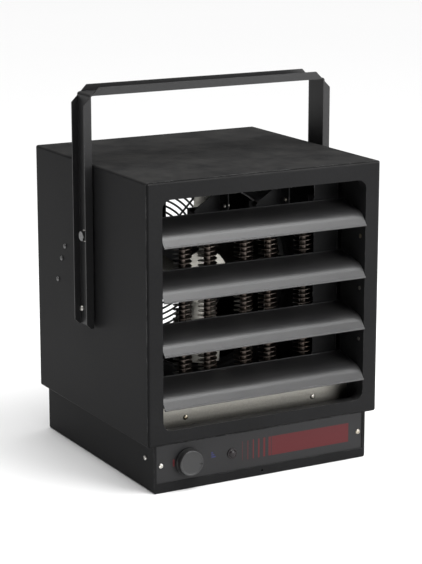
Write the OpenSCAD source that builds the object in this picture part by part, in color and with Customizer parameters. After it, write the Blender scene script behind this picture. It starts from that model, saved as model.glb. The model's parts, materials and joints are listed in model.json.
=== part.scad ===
// Electric unit heater: a sheet steel casing on a shallow control base, four
// adjustable louvres in front, finned hairpin elements and a fan inside, and
// a U yoke that the casing tilts in. X is to the right, Y to the back, Z up.
// The origin is on the underside of the base, below the yoke's plane.

/* [Casing] */
// Width of the casing
case_w = 360; // [350:1:420]
// Depth of the casing, front edge to rear edge
case_d = 344; // [335:1:400]
// Height of the casing above the base
case_h = 357; // [345:1:420]
// Thickness of the sheet steel
sheet_t = 1.2; // [0.8:0.1:1.5]
// Outside radius of the sheet bends
bend_r = 3; // [2:0.5:5]

/* [Front bezel] */
// How far the bezel face stands in front of the casing
bezel_proud = 2.5; // [1.5:0.5:5]
// Width of the bezel's side bars
bar_side = 21.4; // [18:0.2:26]
// Width of the bezel's top bar
bar_top = 23; // [18:0.5:28]
// Width of the bezel's bottom bar
bar_bottom = 18.6; // [16:0.2:24]
// Corner radius of the outlet opening
outlet_r = 13; // [6:0.5:16]
// Depth of the flange turned in round the outlet
outlet_flange = 16; // [10:1:17]

/* [Louvres] */
// Height of the lowest louvre pivot above the outlet's lower edge
louvre_foot = 39.6; // [36:0.2:44]
// Distance from the highest louvre pivot to the outlet's upper edge
louvre_head = 53.5; // [46:0.5:60]
// Radius of the louvre's nose
nose_r = 24; // [20:0.5:28]
// Slope of the louvre's front lip below horizontal, degrees
lip_angle = 54; // [48:1:60]
// Rise of the louvre's rear blade above horizontal, degrees
blade_angle = 14; // [8:1:18]
// Straight length of the front lip
lip_len = 10; // [7:0.5:13]
// Straight length of the rear blade
blade_len = 42; // [34:1:44]
// Radius of the louvre's pivot pins
pin_r = 2.5; // [2:0.1:3]

/* [Heating elements] */
// Radius of the element's sheath tube
sheath_r = 5; // [4:0.25:5.5]
// Outer radius of the fins
fin_r = 13.5; // [11:0.5:14]
// Spacing of the fins along the tube
fin_pitch = 6.4; // [5.5:0.1:8]
// Thickness of one fin
fin_t = 0.7; // [0.5:0.1:1]
// Distance between the two legs of one element
leg_gap = 39; // [36:1:44]
// Distance from the casing's left wall to the first hanger tab
hanger_left = 59.8; // [50:0.2:70]
// Distance from the casing's right wall to the last hanger tab
hanger_right = 9.8; // [9.6:0.2:14]
// Distance from the casing's top down to where the elements start to bend
element_drop = 69.8; // [66:0.2:90]

/* [Fan] */
// Outer radius of the fan
fan_r = 126; // [110:1:130]
// Pitch of the fan blades, degrees
fan_pitch = 27; // [20:1:32]
// Radius of the motor's can
motor_r = 42; // [38:1:46]
// Length of the motor's can
motor_len = 80; // [70:1:84]
// Radius of the motor's shaft
shaft_r = 4; // [3:0.5:5]

/* [Base] */
// Width of the control base
base_w = 335; // [320:1:345]
// Height of the control base
base_h = 68; // [66:1:80]
// How far the base's front stands behind the casing's front edge
base_setback = 6; // [4:0.5:12]
// Height of the lip along the base's lower front edge
lip_h = 13; // [10:0.5:16]

/* [Controls] */
// Radius of the thermostat knob's skirt
knob_r = 19; // [16:0.5:21]
// Height of the thermostat knob
knob_h = 10.8; // [9:0.2:14]
// Distance of the knob's axis from the base's left side
knob_in = 52.5; // [44:0.5:60]
// Distance of the pilot lamp's axis from the knob's axis
lamp_in = 68; // [55:1:80]
// Radius of the pilot lamp's ring
lamp_r = 7.5; // [6:0.5:9]

/* [Yoke] */
// Width of the yoke's channel, front flange to back flange
yoke_w = 40; // [34:1:46]
// Depth of the yoke's flanges, web included
yoke_flange = 11; // [9:0.5:14]
// Thickness of the yoke's plate
yoke_t = 2; // [1.5:0.25:3]
// Height of the yoke's pivot above the casing's bottom
pivot_h = 257; // [240:1:270]
// Clear height between the casing's top and the yoke's top bar
yoke_clear = 94; // [80:1:110]
// How far the yoke's legs reach below the pivot
leg_drop = 127; // [90:1:140]
// Thickness of the spacer between the yoke and the casing
spacer_t = 3; // [2.5:0.5:5]
// Radius of the pivot bolt's shank
bolt_r = 4; // [3:0.5:5]
// Distance between the two screw holes in the yoke's top bar
yoke_holes = 203; // [150:1:240]
// Radius of the screw holes in the yoke's top bar
yoke_hole_r = 4.5; // [3:0.5:6]
// Radius of the rod hole in the middle of the yoke's top bar
rod_hole_r = 6.5; // [5:0.5:8]

/* [Cable entry] */
// Radius of the cable entry in the base's rear cover
entry_r = 14; // [10:0.5:16]

/* [Hidden] */
$fn = 72;

// Overrun of every cut past the face it cuts
over = 1;
// Gap left where one sheet slips inside another
slip = 0.2;
// Radial clearance of a pin or shaft that turns
run_gap = 0.06;
// Radial clearance of a screw or stud that stays still
still_gap = 0.15;

// Faces of the casing
front_y = -case_d / 2;
rear_y = case_d / 2;
in_x = case_w / 2 - sheet_t;
floor_z = base_h + sheet_t;
roof_z = base_h + case_h - sheet_t;
mid_z = base_h + case_h / 2;

// Bezel and outlet
bezel_w = case_w - 2 * (sheet_t + slip);
bezel_h = case_h - 2 * (sheet_t + slip);
bezel_z = base_h + sheet_t + slip;
face_y = front_y - bezel_proud;
bezel_skirt = 14;
open_w = bezel_w - 2 * bar_side;
open_h = bezel_h - bar_top - bar_bottom;
open_z = bezel_z + bar_bottom;

// Louvres
louvre_count = 4;
louvre_pitch = (open_h - louvre_foot - louvre_head) / (louvre_count - 1);
louvre_t = 1.2;
nose_steps = 12;
hem_r = 1.3;
pivot_back = 24;
pivot_y = face_y + pivot_back;
nose_above = 8.2;
nose_ahead = 7.9;
end_gap = 0.8;
tab_t = 1.2;
tab_r = 6;
tab_len = 9;
pin_head_r = 4.4;
pin_head_t = 1.2;
pin_side_gap = 0.2;
blade_half = open_w / 2 - end_gap;
rail_t = 1.2;
rail_x = open_w / 2 + sheet_t;
rail_depth = 62;
rail_flange = 12;
rail_over = 5;
rivet_r = 1.6;
rivet_head_r = 3;
rivet_proud = 0.5;
rivet_above = 45.4;
rivet_edge = 3;

// Elements and their shelf
element_count = 3;
element_in = 78;
element_y = front_y + element_in;
tab_shift_share = 0.552;
tab_pitch = (2 * in_x - hanger_left - hanger_right) / element_count;
last_leg_x = in_x - hanger_right - (1 - tab_shift_share) * tab_pitch + leg_gap / 2;
strip_in = 40;
strip_y = front_y + strip_in;
shelf_h = 38;
shelf_z = base_h + shelf_h;
shelf_gap = 0.4;
shelf_w = 2 * (rail_x - shelf_gap);
shelf_depth = 70.8;
shelf_bend = 2.4;
strip_h = 31;
strip_low = 6.4;
strip_curl_r = 5;
strip_screw_share = 0.641;
strip_screw_rise = 21;
strip_screw_z = base_h + strip_screw_rise;
sheath_low = 14;
fin_start = 50;
arc_above = 6;
tip_r = 2;
tip_len = 12;
bush_r = 7.8;
bush_hex_r = 11.5;
bush_hex_t = 7;
bush_nut_t = 5;
bush_tail = 3;
window_margin = 20;
window_depth = 34;
window_x = last_leg_x - leg_gap / 2 - tab_pitch * (element_count - 1) / 2;
window_w = tab_pitch * (element_count - 1) + leg_gap + 2 * window_margin;
arc_z = roof_z - element_drop;
fin_span = arc_z - arc_above - base_h - fin_start;
stay_w = 39;
stay_shift = 13;
stay_gap = 2.3;
stay_flange = 14;
stay_y = element_y - fin_r - stay_gap - sheet_t;
hanger_side = 8.8;
hanger_half = in_x - hanger_side;
hanger_t = 1.2;
hanger_back = 14;
hanger_tab_t = 1.5;
hanger_tab_front = 16.5;
hanger_tab_back = 10;
hanger_tab_drop = 69.6;
stud_r = 4;
stud_front = 7;
bridge_t = 1.5;
bridge_side = 8;
bridge_drop = 8.3;
bridge_rise = 34;
hanger_screw_drop = 54.6;
hanger_screw_r = 3;
hanger_screw_t = 2;

// Side liners
liner_gap = 6.8;
liner_t = 1;
liner_x = in_x - liner_gap - liner_t;
liner_in = 91;
liner_front_y = front_y + liner_in;

// Fan bulkhead
bulk_ahead = 8;
bulk_y = -bulk_ahead;
bulk_flange = 10;
orifice_gap = 5;
orifice_r = fan_r + orifice_gap;
flare_r = 6;
collar_len = 12;
liner_back_y = bulk_y - bulk_flange - liner_t;

// Fan
fan_y = 1;
fan_blade_count = 4;
fan_blade_t = 1.2;
fan_camber_r = 90;
fan_turn = 6;
fan_depth = 25;
spider_r = 38;
spider_t = 2;
hub_r = 11;
hub_front = 6;
hub_back = 14;
hub_flange_r = 20;
hub_flange_t = 4;
hub_gap = 0.03;
set_screw_r = 2.5;
// Outline of one blade as shares of the fan's radius: outwards, then across
fan_outline_shares = [[0.24, -0.09], [0.42, -0.2], [0.75, -0.27], [1.05, -0.28],
    [1.05, 0.26], [0.78, 0.25], [0.42, 0.15], [0.24, 0.09]];

// Motor
motor_front_y = 24;
boss_len = 7;
boss_r = 12;
bell_r = 5;
stud_x = 24;
motor_stud_r = 2;
motor_stud_len = 6;
bracket_t = 2;
bracket_half_h = 18.5;
ear_depth = 38;
ear_rise = 59.5;
ear_top_depth = 18;
ear_low_share = 0.4;
nut_r = 4;
nut_t = 2.4;
motor_cap = 4;
shaft_cover = 12;
motor_back_y = motor_front_y + motor_len + motor_cap;
shaft_end_y = motor_back_y - shaft_cover;

// Rear panel and guard
inlet_over = 6;
rear_r = orifice_r + inlet_over;
rear_flange = 12;
wire_r = 1.6;
wire_flat = wire_r * cos(22.5);
wire_bite = 0.3;
ring_count = 6;
spoke_count = 8;
guard_first = 25;
guard_over = 7;
guard_r = rear_r + flare_r + guard_over;
lug_w = 12;
lug_len = 16;
lug_in = 2;

// Base
base_y = front_y + base_setback;
base_flange = 12;
corner_w = 4;
lip_lap = 5;
panel_t = 1.5;
panel_y = base_y + sheet_t + slip;
panel_back_y = panel_y + panel_t;
panel_tab_w = 18;
panel_tab_half_h = 10;
panel_screw_in = 11;
lip_hole_r = 1.6;
vent_count = 6;
vent_w = 4;
vent_h = 34;
vent_pitch = 14;
entry_in = 57.5;
cover_screw_in = 7.5;
cover_screw_edge = 12;
base_screw_y = 31;
base_screw_drop = 23.4;

// Controls
control_drop = 30;
control_z = base_h - control_drop;
knob_x = -base_w / 2 + knob_in;
lamp_x = knob_x + lamp_in;
neck_r = 5;
neck_len = 3;
neck_nut_r = 8;
neck_nut_t = 2.2;
stem_r = 3;
stem_flat = 2.2;
stem_in = 14;
knob_gap = 0.8;
knob_face_y = panel_y - knob_gap - knob_h;
knob_taper = 1;
knob_round = 1.6;
knob_skirt_h = 3;
knob_hollow_r = 14;
knob_hollow_d = 4.5;
knob_socket_end = 2.2;
tick_w = 1.4;
tick_len = 5;
tick_depth = 0.5;
tick_angle = 10;
thermo_half_w = 21;
thermo_half_h = 19;
thermo_depth = 30;
capillary_r = 1;
capillary_bend = 12;
capillary_x = knob_x - thermo_half_w / 2;
bulb_r = 4;
bulb_len = 80;
bulb_in = 22;
bulb_x = capillary_x + capillary_bend;
bulb_y = rear_y - bulb_in;
clip_t = 6;
clip_in = 16;
clip_half = 6;
lamp_ring_t = 1.6;
lamp_body_r = 5.4;
lamp_body_len = 24;
lamp_lens_r = 5.4;
lamp_lens_rise = 1.6;

// Boxes inside the base
entry_x = base_w / 2 - entry_in;
contactor_w = 62;
contactor_d = 70;
contactor_h = 40;
contactor_left = 70;
contactor_x = entry_x - contactor_left;
block_w = 72;
block_d = 22;
block_h = 20;
block_in = 60;
block_left = 40;
block_x = entry_x - block_left;
block_y = rear_y - block_in;
block_ways = 4;
lug_body_w = 10;
lug_body_d = 18;
lug_body_h = 8;
lug_right = 24;
lug_x = entry_x + lug_right;
limit_r = 9;
limit_t = 7;
limit_drop = 73.8;
limit_y = (liner_front_y + liner_back_y) / 2;
limit_z = roof_z - limit_drop;

// Yoke and its pivots
pivot_z = base_h + pivot_h;
side_play = 0.1;
yoke_in = case_w / 2 + spacer_t + side_play;
yoke_out = yoke_in + yoke_t;
yoke_under_z = base_h + case_h + yoke_clear;
yoke_bend = 4;
yoke_relief = 5;
yoke_toe = 6;
washer_t = 1.6;
washer_r = 8.4;
spacer_r = 9;
bolt_head_r = 7.5;
bolt_head_t = 5.3;
pivot_nut_t = 6.5;
bolt_tail = 1.5;
lock_back = 13;
lock_drop = 105;
lock_r = 2.5;
lock_head_r = 4;
lock_head_t = 3;

// Sheet metal screws
screw_r = 1.9;
screw_head_r = 3.6;
screw_head_t = 1.8;
screw_tail = 5;
// Places of the side screws as shares of the bracket ear's depth and rise
ear_screw_shares = [[0.776, 0.815], [0.474, 0.487], [0.105, -0.067]];

function ray(a) = [cos(a), sin(a)];
function louvre_z(n) = open_z + louvre_foot + (louvre_count - n) * louvre_pitch;
function element_x(n) = last_leg_x - leg_gap / 2 - (element_count - n) * tab_pitch;
function tab_x(k) = hanger_left - in_x + k * tab_pitch;
function tab_mid(y) = nose_above + (y + nose_ahead) * tan(blade_angle)
    - louvre_t / (2 * cos(blade_angle));

// Extrudes a profile drawn in X and Z from y0 back to y1
module along_y(y0, y1) {
    translate([0, y1, 0]) rotate([90, 0, 0]) linear_extrude(height = y1 - y0) children();
}

// Extrudes a profile drawn in Y and Z from x0 to x1
module along_x(x0, x1) {
    translate([x0, 0, 0]) rotate([90, 0, 90]) linear_extrude(height = x1 - x0) children();
}

// Extrudes a profile drawn in X and Y from z0 up to z1
module along_z(z0, z1) {
    translate([0, 0, z0]) linear_extrude(height = z1 - z0) children();
}

// Revolves a profile of radius and Y about the Y axis
module revolve_y() {
    rotate([-90, 0, 0]) rotate_extrude() children();
}

module rod_x(r, x0, x1) {
    translate([x0, 0, 0]) rotate([0, 90, 0]) cylinder(r = r, h = x1 - x0);
}

module rod_y(r, y0, y1) {
    translate([0, y0, 0]) rotate([-90, 0, 0]) cylinder(r = r, h = y1 - y0);
}

module rod_z(r, z0, z1) {
    translate([0, 0, z0]) cylinder(r = r, h = z1 - z0);
}

// Repeats what it is given on the other side of the middle plane
module both_sides() {
    children();
    mirror([1, 0, 0]) children();
}

// A rectangle with round corners, standing on its lower edge's middle
module soft_rect(w, h, r) {
    translate([-w / 2, r]) square([w, h - 2 * r]);
    translate([-w / 2 + r, 0]) square([w - 2 * r, h]);
    for (x = [-w / 2 + r, w / 2 - r], y = [r, h - r]) translate([x, y]) circle(r);
}

// A rectangle whose two upper corners are round
module arch_rect(w, h, r) {
    translate([-w / 2, 0]) square([w, h - r]);
    translate([-w / 2 + r, 0]) square([w - 2 * r, h]);
    for (x = [-w / 2 + r, w / 2 - r]) translate([x, h - r]) circle(r);
}

// A solid box with its front face's edges and its long edges rounded
module soft_block(w, h, y0, y1, r) {
    intersection() {
        along_y(y0, y1) soft_rect(w, h, r);
        along_x(-w / 2, w / 2) {
            translate([y0 + r, 0]) square([y1 - y0 - r, h]);
            translate([y0, r]) square([r, h - 2 * r]);
            for (z = [r, h - r]) translate([y0 + r, z]) circle(r);
        }
        along_z(0, h) {
            translate([-w / 2, y0 + r]) square([w, y1 - y0 - r]);
            translate([-w / 2 + r, y0]) square([w - 2 * r, r]);
            for (x = [-w / 2 + r, w / 2 - r]) translate([x, y0 + r]) circle(r);
        }
    }
}

// A pan head screw along X, its head's seat at x, pointing inwards
module side_screw(x, len, r, head_r, head_t) {
    rod_x(head_r, x, x + head_t);
    rod_x(r, x - len, x);
}

// A pan head screw along Y, its head's seat at y, pointing back
module front_screw(y, len) {
    rod_y(screw_head_r, y - screw_head_t, y);
    rod_y(screw_r, y, y + len);
}

// Where the motor bracket's ears are screwed to a side wall
module at_case_screws() {
    for (p = ear_screw_shares)
        translate([0, motor_back_y - p[0] * ear_depth, mid_z + p[1] * ear_rise]) children();
}

// Wrapper of one folded sheet, open in front and behind
module casing_wrapper() {
    color([0.17, 0.17, 0.18]) difference() {
        translate([0, 0, base_h]) along_y(front_y, rear_y) difference() {
            soft_rect(case_w, case_h, bend_r);
            translate([0, sheet_t])
                soft_rect(case_w - 2 * sheet_t, case_h - 2 * sheet_t, bend_r - sheet_t);
        }
        for (x = [-case_w / 2 - over, in_x - over]) {
            translate([0, 0, pivot_z]) rod_x(bolt_r + still_gap, x, x + sheet_t + 2 * over);
            at_case_screws() rod_x(screw_r + still_gap, x, x + sheet_t + 2 * over);
        }
        along_z(base_h - over, base_h + sheet_t + over) translate([window_x, element_y])
            square([window_w, window_depth], center = true);
    }
}

// Shallow pan with the outlet cut through it and a flange turned in round it
module front_bezel() {
    color([0.24, 0.24, 0.25]) difference() {
        union() {
            difference() {
                translate([0, 0, bezel_z])
                    soft_block(bezel_w, bezel_h, face_y, face_y + bezel_skirt, bend_r);
                translate([0, 0, bezel_z + sheet_t]) soft_block(bezel_w - 2 * sheet_t,
                    bezel_h - 2 * sheet_t, face_y + sheet_t, face_y + bezel_skirt + over,
                    bend_r - sheet_t);
            }
            translate([0, 0, open_z - sheet_t]) along_y(face_y + sheet_t / 2, face_y + outlet_flange)
                soft_rect(open_w + 2 * sheet_t, open_h + 2 * sheet_t, outlet_r + sheet_t);
        }
        translate([0, 0, open_z]) along_y(face_y - over, face_y + outlet_flange + over)
            soft_rect(open_w, open_h, outlet_r);
        both_sides() at_rivets()
            rod_x(rivet_r + still_gap, open_w / 2 - over, rail_x + over);
    }
}

// The rivets that hold a rail stand between the louvres
module at_rivets() {
    for (n = [2:louvre_count])
        translate([0, face_y + outlet_flange - rivet_edge, louvre_z(n) + rivet_above]) children();
}

// Angle behind the bezel's side bar that carries the louvre pins
module louvre_rail() {
    low = open_z - rail_over;
    tall = open_h + 2 * rail_over;
    difference() {
        union() {
            along_x(rail_x, rail_x + rail_t)
                translate([face_y + sheet_t, low]) square([rail_depth, tall]);
            along_y(face_y + sheet_t, face_y + sheet_t + rail_t)
                translate([rail_x, low]) square([rail_flange, tall]);
        }
        for (n = [1:louvre_count]) translate([0, pivot_y, louvre_z(n)])
            rod_x(pin_r + run_gap, rail_x - over, rail_x + rail_t + over);
        at_rivets() rod_x(rivet_r + still_gap, rail_x - over, rail_x + rail_t + over);
    }
}

module louvre_rail_left() {
    color([0.2, 0.2, 0.21]) mirror([1, 0, 0]) louvre_rail();
}

module louvre_rail_right() {
    color([0.2, 0.2, 0.21]) louvre_rail();
}

module rail_rivets() {
    color([0.5, 0.5, 0.5]) both_sides() at_rivets() {
        rod_x(rivet_head_r, open_w / 2 - rivet_proud, open_w / 2);
        rod_x(rivet_r, open_w / 2 - rivet_proud / 2, rail_x + rail_t + rivet_proud / 2);
        rod_x(rivet_head_r, rail_x + rail_t, rail_x + rail_t + rivet_proud);
    }
}

// Points along the nose's bend at radius r, from slope a0 to slope a1
function nose_arc(r, a0, a1) =
    [for (i = [0:nose_steps]) r * ray(90 + a0 + (a1 - a0) * i / nose_steps)];

// Section of a louvre round its pivot: hemmed lip, round nose, rising blade
module louvre_section() {
    nose_c = [-nose_ahead, nose_above] - nose_r * ray(90 + blade_angle);
    inner_r = nose_r - louvre_t;
    mid_r = nose_r - louvre_t / 2;
    blade_end = blade_len * ray(blade_angle);
    lip_end = -lip_len * ray(lip_angle);
    translate(nose_c) {
        polygon(concat(
            [nose_r * ray(90 + lip_angle) + lip_end],
            nose_arc(nose_r, lip_angle, blade_angle),
            [nose_r * ray(90 + blade_angle) + blade_end, inner_r * ray(90 + blade_angle) + blade_end],
            nose_arc(inner_r, blade_angle, lip_angle),
            [inner_r * ray(90 + lip_angle) + lip_end]));
        translate(mid_r * ray(90 + blade_angle) + blade_end) circle(hem_r);
        translate(mid_r * ray(90 + lip_angle) + lip_end) circle(hem_r);
    }
}

// Blade with a pivot tab folded down at each end
module louvre(n) {
    color([0.4, 0.4, 0.41]) translate([0, pivot_y, louvre_z(n)]) difference() {
        union() {
            along_x(-blade_half, blade_half) louvre_section();
            both_sides() along_x(blade_half - tab_t, blade_half) {
                circle(tab_r);
                polygon([[-tab_r, 0], [tab_r, 0], [tab_len, tab_mid(tab_len)],
                    [-tab_r, tab_mid(-tab_r)]]);
            }
        }
        both_sides() rod_x(pin_r + still_gap / 2, blade_half - tab_t - over, blade_half + over);
    }
}

// Shouldered pins headed over the tab inside and over the rail outside
module louvre_pins(n) {
    color([0.6, 0.6, 0.6]) translate([0, pivot_y, louvre_z(n)]) both_sides() {
        rod_x(pin_head_r, blade_half - tab_t - pin_head_t, blade_half - tab_t);
        rod_x(pin_r, blade_half - tab_t - pin_head_t / 2, rail_x + rail_t + pin_side_gap + pin_head_t / 2);
        rod_x(pin_head_r, blade_half, rail_x - pin_side_gap);
        rod_x(pin_head_r, rail_x + rail_t + pin_side_gap, rail_x + rail_t + pin_side_gap + pin_head_t);
    }
}

// Channel that shields the casing's side from the elements
module liner() {
    wall = in_x - liner_x;
    along_z(floor_z, roof_z) {
        translate([liner_x, liner_front_y]) square([liner_t, liner_back_y - liner_front_y]);
        for (y = [liner_front_y, liner_back_y - liner_t])
            translate([liner_x, y]) square([wall, liner_t]);
    }
}

module left_liner() {
    color([0.42, 0.42, 0.42]) mirror([1, 0, 0]) liner();
}

module right_liner() {
    color([0.42, 0.42, 0.42]) liner();
}

// Upright stay between the shelf and the casing's top, feet turned forward
module outlet_stay() {
    color([0.42, 0.42, 0.42]) translate([last_leg_x - stay_shift, 0, 0])
        along_x(-stay_w / 2, stay_w / 2) {
            translate([stay_y, shelf_z]) square([sheet_t, roof_z - shelf_z]);
            for (z = [shelf_z, roof_z - sheet_t])
                translate([stay_y + sheet_t - stay_flange, z]) square([stay_flange, sheet_t]);
        }
}

// Where each leg of each element stands
module at_legs() {
    for (n = [1:element_count], x = [-leg_gap / 2, leg_gap / 2])
        translate([element_x(n) + x, element_y, 0]) children();
}

// Upturned channel that the elements stand on
module element_shelf() {
    tall = shelf_z - floor_z;
    color([0.55, 0.54, 0.52]) difference() {
        along_x(-shelf_w / 2, shelf_w / 2)
            translate([strip_y + sheet_t + shelf_depth / 2, floor_z]) difference() {
                arch_rect(shelf_depth, tall, shelf_bend);
                translate([0, -over]) arch_rect(shelf_depth - 2 * sheet_t, tall - sheet_t + over,
                    shelf_bend - sheet_t);
            }
        at_legs() rod_z(bush_r + still_gap, shelf_z - sheet_t - over, shelf_z + over);
        at_strip_screws()
            rod_y(screw_r + still_gap, strip_y + sheet_t - over, strip_y + 2 * sheet_t + over);
    }
}

// Bright strip screwed over the shelf's front, its lower edge rolled forward
module shelf_cover_strip() {
    roll_z = base_h + strip_low;
    color([0.62, 0.61, 0.58]) difference() {
        along_x(-shelf_w / 2, shelf_w / 2) {
            translate([strip_y, roll_z]) square([sheet_t, strip_h]);
            intersection() {
                translate([strip_y + sheet_t - strip_curl_r, roll_z]) difference() {
                    circle(strip_curl_r);
                    circle(strip_curl_r - sheet_t);
                }
                translate([strip_y + sheet_t - strip_curl_r, roll_z - strip_curl_r])
                    square(strip_curl_r);
            }
        }
        at_strip_screws() rod_y(screw_r + still_gap, strip_y - over, strip_y + sheet_t + over);
    }
}

module at_strip_screws() {
    for (x = [-1, 1] * strip_screw_share * shelf_w / 2)
        translate([x, 0, strip_screw_z]) children();
}

module strip_screws() {
    color([0.75, 0.75, 0.74]) at_strip_screws() front_screw(strip_y, 2 * sheet_t + screw_tail);
}

// Outline of one finned leg, radius against height
function fin_points() = concat(
    [[0, base_h - sheath_low], [sheath_r, base_h - sheath_low]],
    [for (i = [0:floor(fin_span / fin_pitch) - 1],
          p = [[sheath_r, 0], [fin_r, 0], [fin_r, fin_t], [sheath_r, fin_t]])
        [p[0], base_h + fin_start + i * fin_pitch + p[1]]],
    [[sheath_r, arc_z], [0, arc_z]]);

// Hairpin of sheathed wire with a fin every few millimetres up both legs
module heating_element(n) {
    color([0.45, 0.42, 0.39]) translate([element_x(n), element_y, 0]) {
        for (x = [-leg_gap / 2, leg_gap / 2]) translate([x, 0, 0]) {
            rotate_extrude() polygon(fin_points());
            rod_z(tip_r, base_h - sheath_low - tip_len, base_h - sheath_low + over);
        }
        translate([0, 0, arc_z]) rotate([90, 0, 0])
            rotate_extrude(angle = 180) translate([leg_gap / 2, 0]) circle(sheath_r);
    }
}

// Hexagon bush above the shelf and its nut below, one for each leg
module element_bushes() {
    color([0.6, 0.5, 0.3]) at_legs() difference() {
        union() {
            translate([0, 0, shelf_z]) cylinder(r = bush_hex_r, h = bush_hex_t, $fn = 6);
            rod_z(bush_r, shelf_z - sheet_t - bush_nut_t - bush_tail, shelf_z + bush_hex_t / 2);
            translate([0, 0, shelf_z - sheet_t - bush_nut_t])
                cylinder(r = bush_hex_r, h = bush_nut_t, $fn = 6);
        }
        rod_z(sheath_r + still_gap, base_h, shelf_z + bush_hex_t + over);
    }
}

// Strip under the casing's top with a tab beside each element's bend, and a
// gusset behind the bend whose stud holds the bend up
module element_hanger() {
    tab_z = roof_z - hanger_tab_drop;
    stud_z = arc_z + leg_gap / 2 - sheath_r - stud_r - slip;
    gusset_y = element_y + sheath_r + slip;
    color([0.5, 0.5, 0.49]) difference() {
        union() {
            along_z(roof_z - hanger_t, roof_z)
                translate([-hanger_half, stay_y + sheet_t + slip])
                square([2 * hanger_half, element_y + hanger_back - stay_y - sheet_t - slip]);
            for (k = [0:element_count])
                along_z(tab_z, roof_z - hanger_t / 2) translate([tab_x(k) - hanger_tab_t / 2, element_y])
                    translate([0, -hanger_tab_front])
                    square([hanger_tab_t, hanger_tab_front + hanger_tab_back]);
            for (n = [1:element_count]) {
                low = stud_z - bridge_drop;
                left = element_x(n) - bridge_side;
                right = tab_x(n);
                along_y(gusset_y, gusset_y + bridge_t) polygon([[left, low], [right, low],
                    [right, low + bridge_rise], [element_x(n) + bridge_side, stud_z + stud_r],
                    [left, stud_z + stud_r]]);
                translate([element_x(n), 0, stud_z])
                    rod_y(stud_r, element_y - stud_front, gusset_y + bridge_t / 2);
            }
        }
        at_hanger_screws() rod_x(screw_r + still_gap, -hanger_tab_t, hanger_tab_t);
    }
}

module at_hanger_screws() {
    for (n = [1:element_count])
        translate([tab_x(n), element_y - hanger_tab_front / 2, roof_z - hanger_screw_drop]) children();
}

module hanger_screws() {
    color([0.75, 0.75, 0.74]) at_hanger_screws() {
        rod_x(hanger_screw_r, -hanger_tab_t / 2 - hanger_screw_t, -hanger_tab_t / 2);
        rod_x(screw_r, -hanger_tab_t / 2 - hanger_screw_t / 2, hanger_tab_t / 2 + screw_tail);
    }
}

// Plate across the casing, its rim turned forward, with a flared fan throat
module fan_bulkhead() {
    w = 2 * (in_x - slip);
    h = roof_z - floor_z - 2 * slip;
    color([0.32, 0.32, 0.32]) {
        translate([0, 0, floor_z + slip]) along_y(bulk_y - bulk_flange, bulk_y + sheet_t) difference() {
            soft_rect(w, h, bend_r - sheet_t);
            translate([0, sheet_t]) soft_rect(w - 2 * sheet_t, h - 2 * sheet_t, bend_r - sheet_t);
        }
        difference() {
            translate([0, 0, floor_z + slip]) along_y(bulk_y, bulk_y + sheet_t)
                soft_rect(w, h, bend_r - sheet_t);
            translate([0, 0, mid_z]) rod_y(orifice_r + flare_r, bulk_y - over, bulk_y + sheet_t + over);
        }
        translate([0, 0, mid_z]) throat(orifice_r, bulk_y, 1);
    }
}

// Ring that curves from a plate into a straight collar, back (1) or forward (-1)
module throat(r, y, way) {
    revolve_y() translate([0, y]) scale([1, way]) {
        intersection() {
            translate([r + flare_r, flare_r]) difference() {
                circle(flare_r);
                circle(flare_r - sheet_t);
            }
            translate([r, 0]) square(flare_r);
        }
        translate([r, flare_r]) square([sheet_t, collar_len]);
    }
}

module fan_hub() {
    color([0.6, 0.6, 0.6]) translate([0, fan_y, mid_z]) difference() {
        union() {
            rod_y(hub_r, -hub_front, hub_back);
            rod_y(hub_flange_r, spider_t, spider_t + hub_flange_t);
        }
        rod_y(shaft_r + hub_gap, -hub_front - over, hub_back + over);
        translate([0, hub_back - set_screw_r - 1.5 * sheet_t, shaft_r]) rod_z(set_screw_r, 0, hub_r);
    }
}

// Four blades cut from cambered sheet, turned to their pitch, on a flat spider
module fan_blades() {
    color([0.72, 0.72, 0.71]) translate([0, fan_y, mid_z]) {
        difference() {
            rod_y(spider_r, 0, spider_t);
            rod_y(hub_r + still_gap, -over, spider_t + over);
        }
        for (k = [0:fan_blade_count - 1]) rotate([0, fan_turn + k * 360 / fan_blade_count, 0])
            intersection() {
                along_y(-fan_depth, fan_depth) intersection() {
                    polygon(fan_r * fan_outline_shares);
                    difference() {
                        circle(fan_r);
                        circle(hub_r + still_gap);
                    }
                }
                rotate([fan_pitch, 0, 0]) translate([0, fan_camber_r, 0]) difference() {
                    rod_x(fan_camber_r, 0, fan_r + over);
                    rod_x(fan_camber_r - fan_blade_t, -over, fan_r + 2 * over);
                }
            }
    }
}

module motor_shaft() {
    color([0.75, 0.75, 0.76]) translate([0, 0, mid_z]) rod_y(shaft_r, fan_y - hub_front - over, shaft_end_y);
}

// Round motor: boss, front bell, can and rear bell, with two studs behind
module fan_motor() {
    color([0.4, 0.4, 0.41]) translate([0, 0, mid_z]) difference() {
        union() {
            revolve_y() {
                translate([0, motor_front_y - boss_len]) square([boss_r, boss_len]);
                translate([0, motor_front_y]) square([motor_r - bell_r, bell_r]);
                translate([motor_r - bell_r, motor_front_y + bell_r]) circle(bell_r);
                translate([0, motor_front_y + bell_r]) square([motor_r, motor_len - 2 * bell_r]);
                translate([motor_r - bell_r, motor_front_y + motor_len - bell_r]) circle(bell_r);
                translate([0, motor_front_y + motor_len - bell_r])
                    square([motor_r - bell_r, motor_back_y - motor_front_y - motor_len + bell_r]);
            }
            for (x = [-stud_x, stud_x]) translate([x, 0, 0])
                rod_y(motor_stud_r, motor_back_y - over, motor_back_y + bracket_t + motor_stud_len);
        }
        rod_y(shaft_r + run_gap, motor_front_y - boss_len - over, shaft_end_y + over);
    }
}

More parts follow.
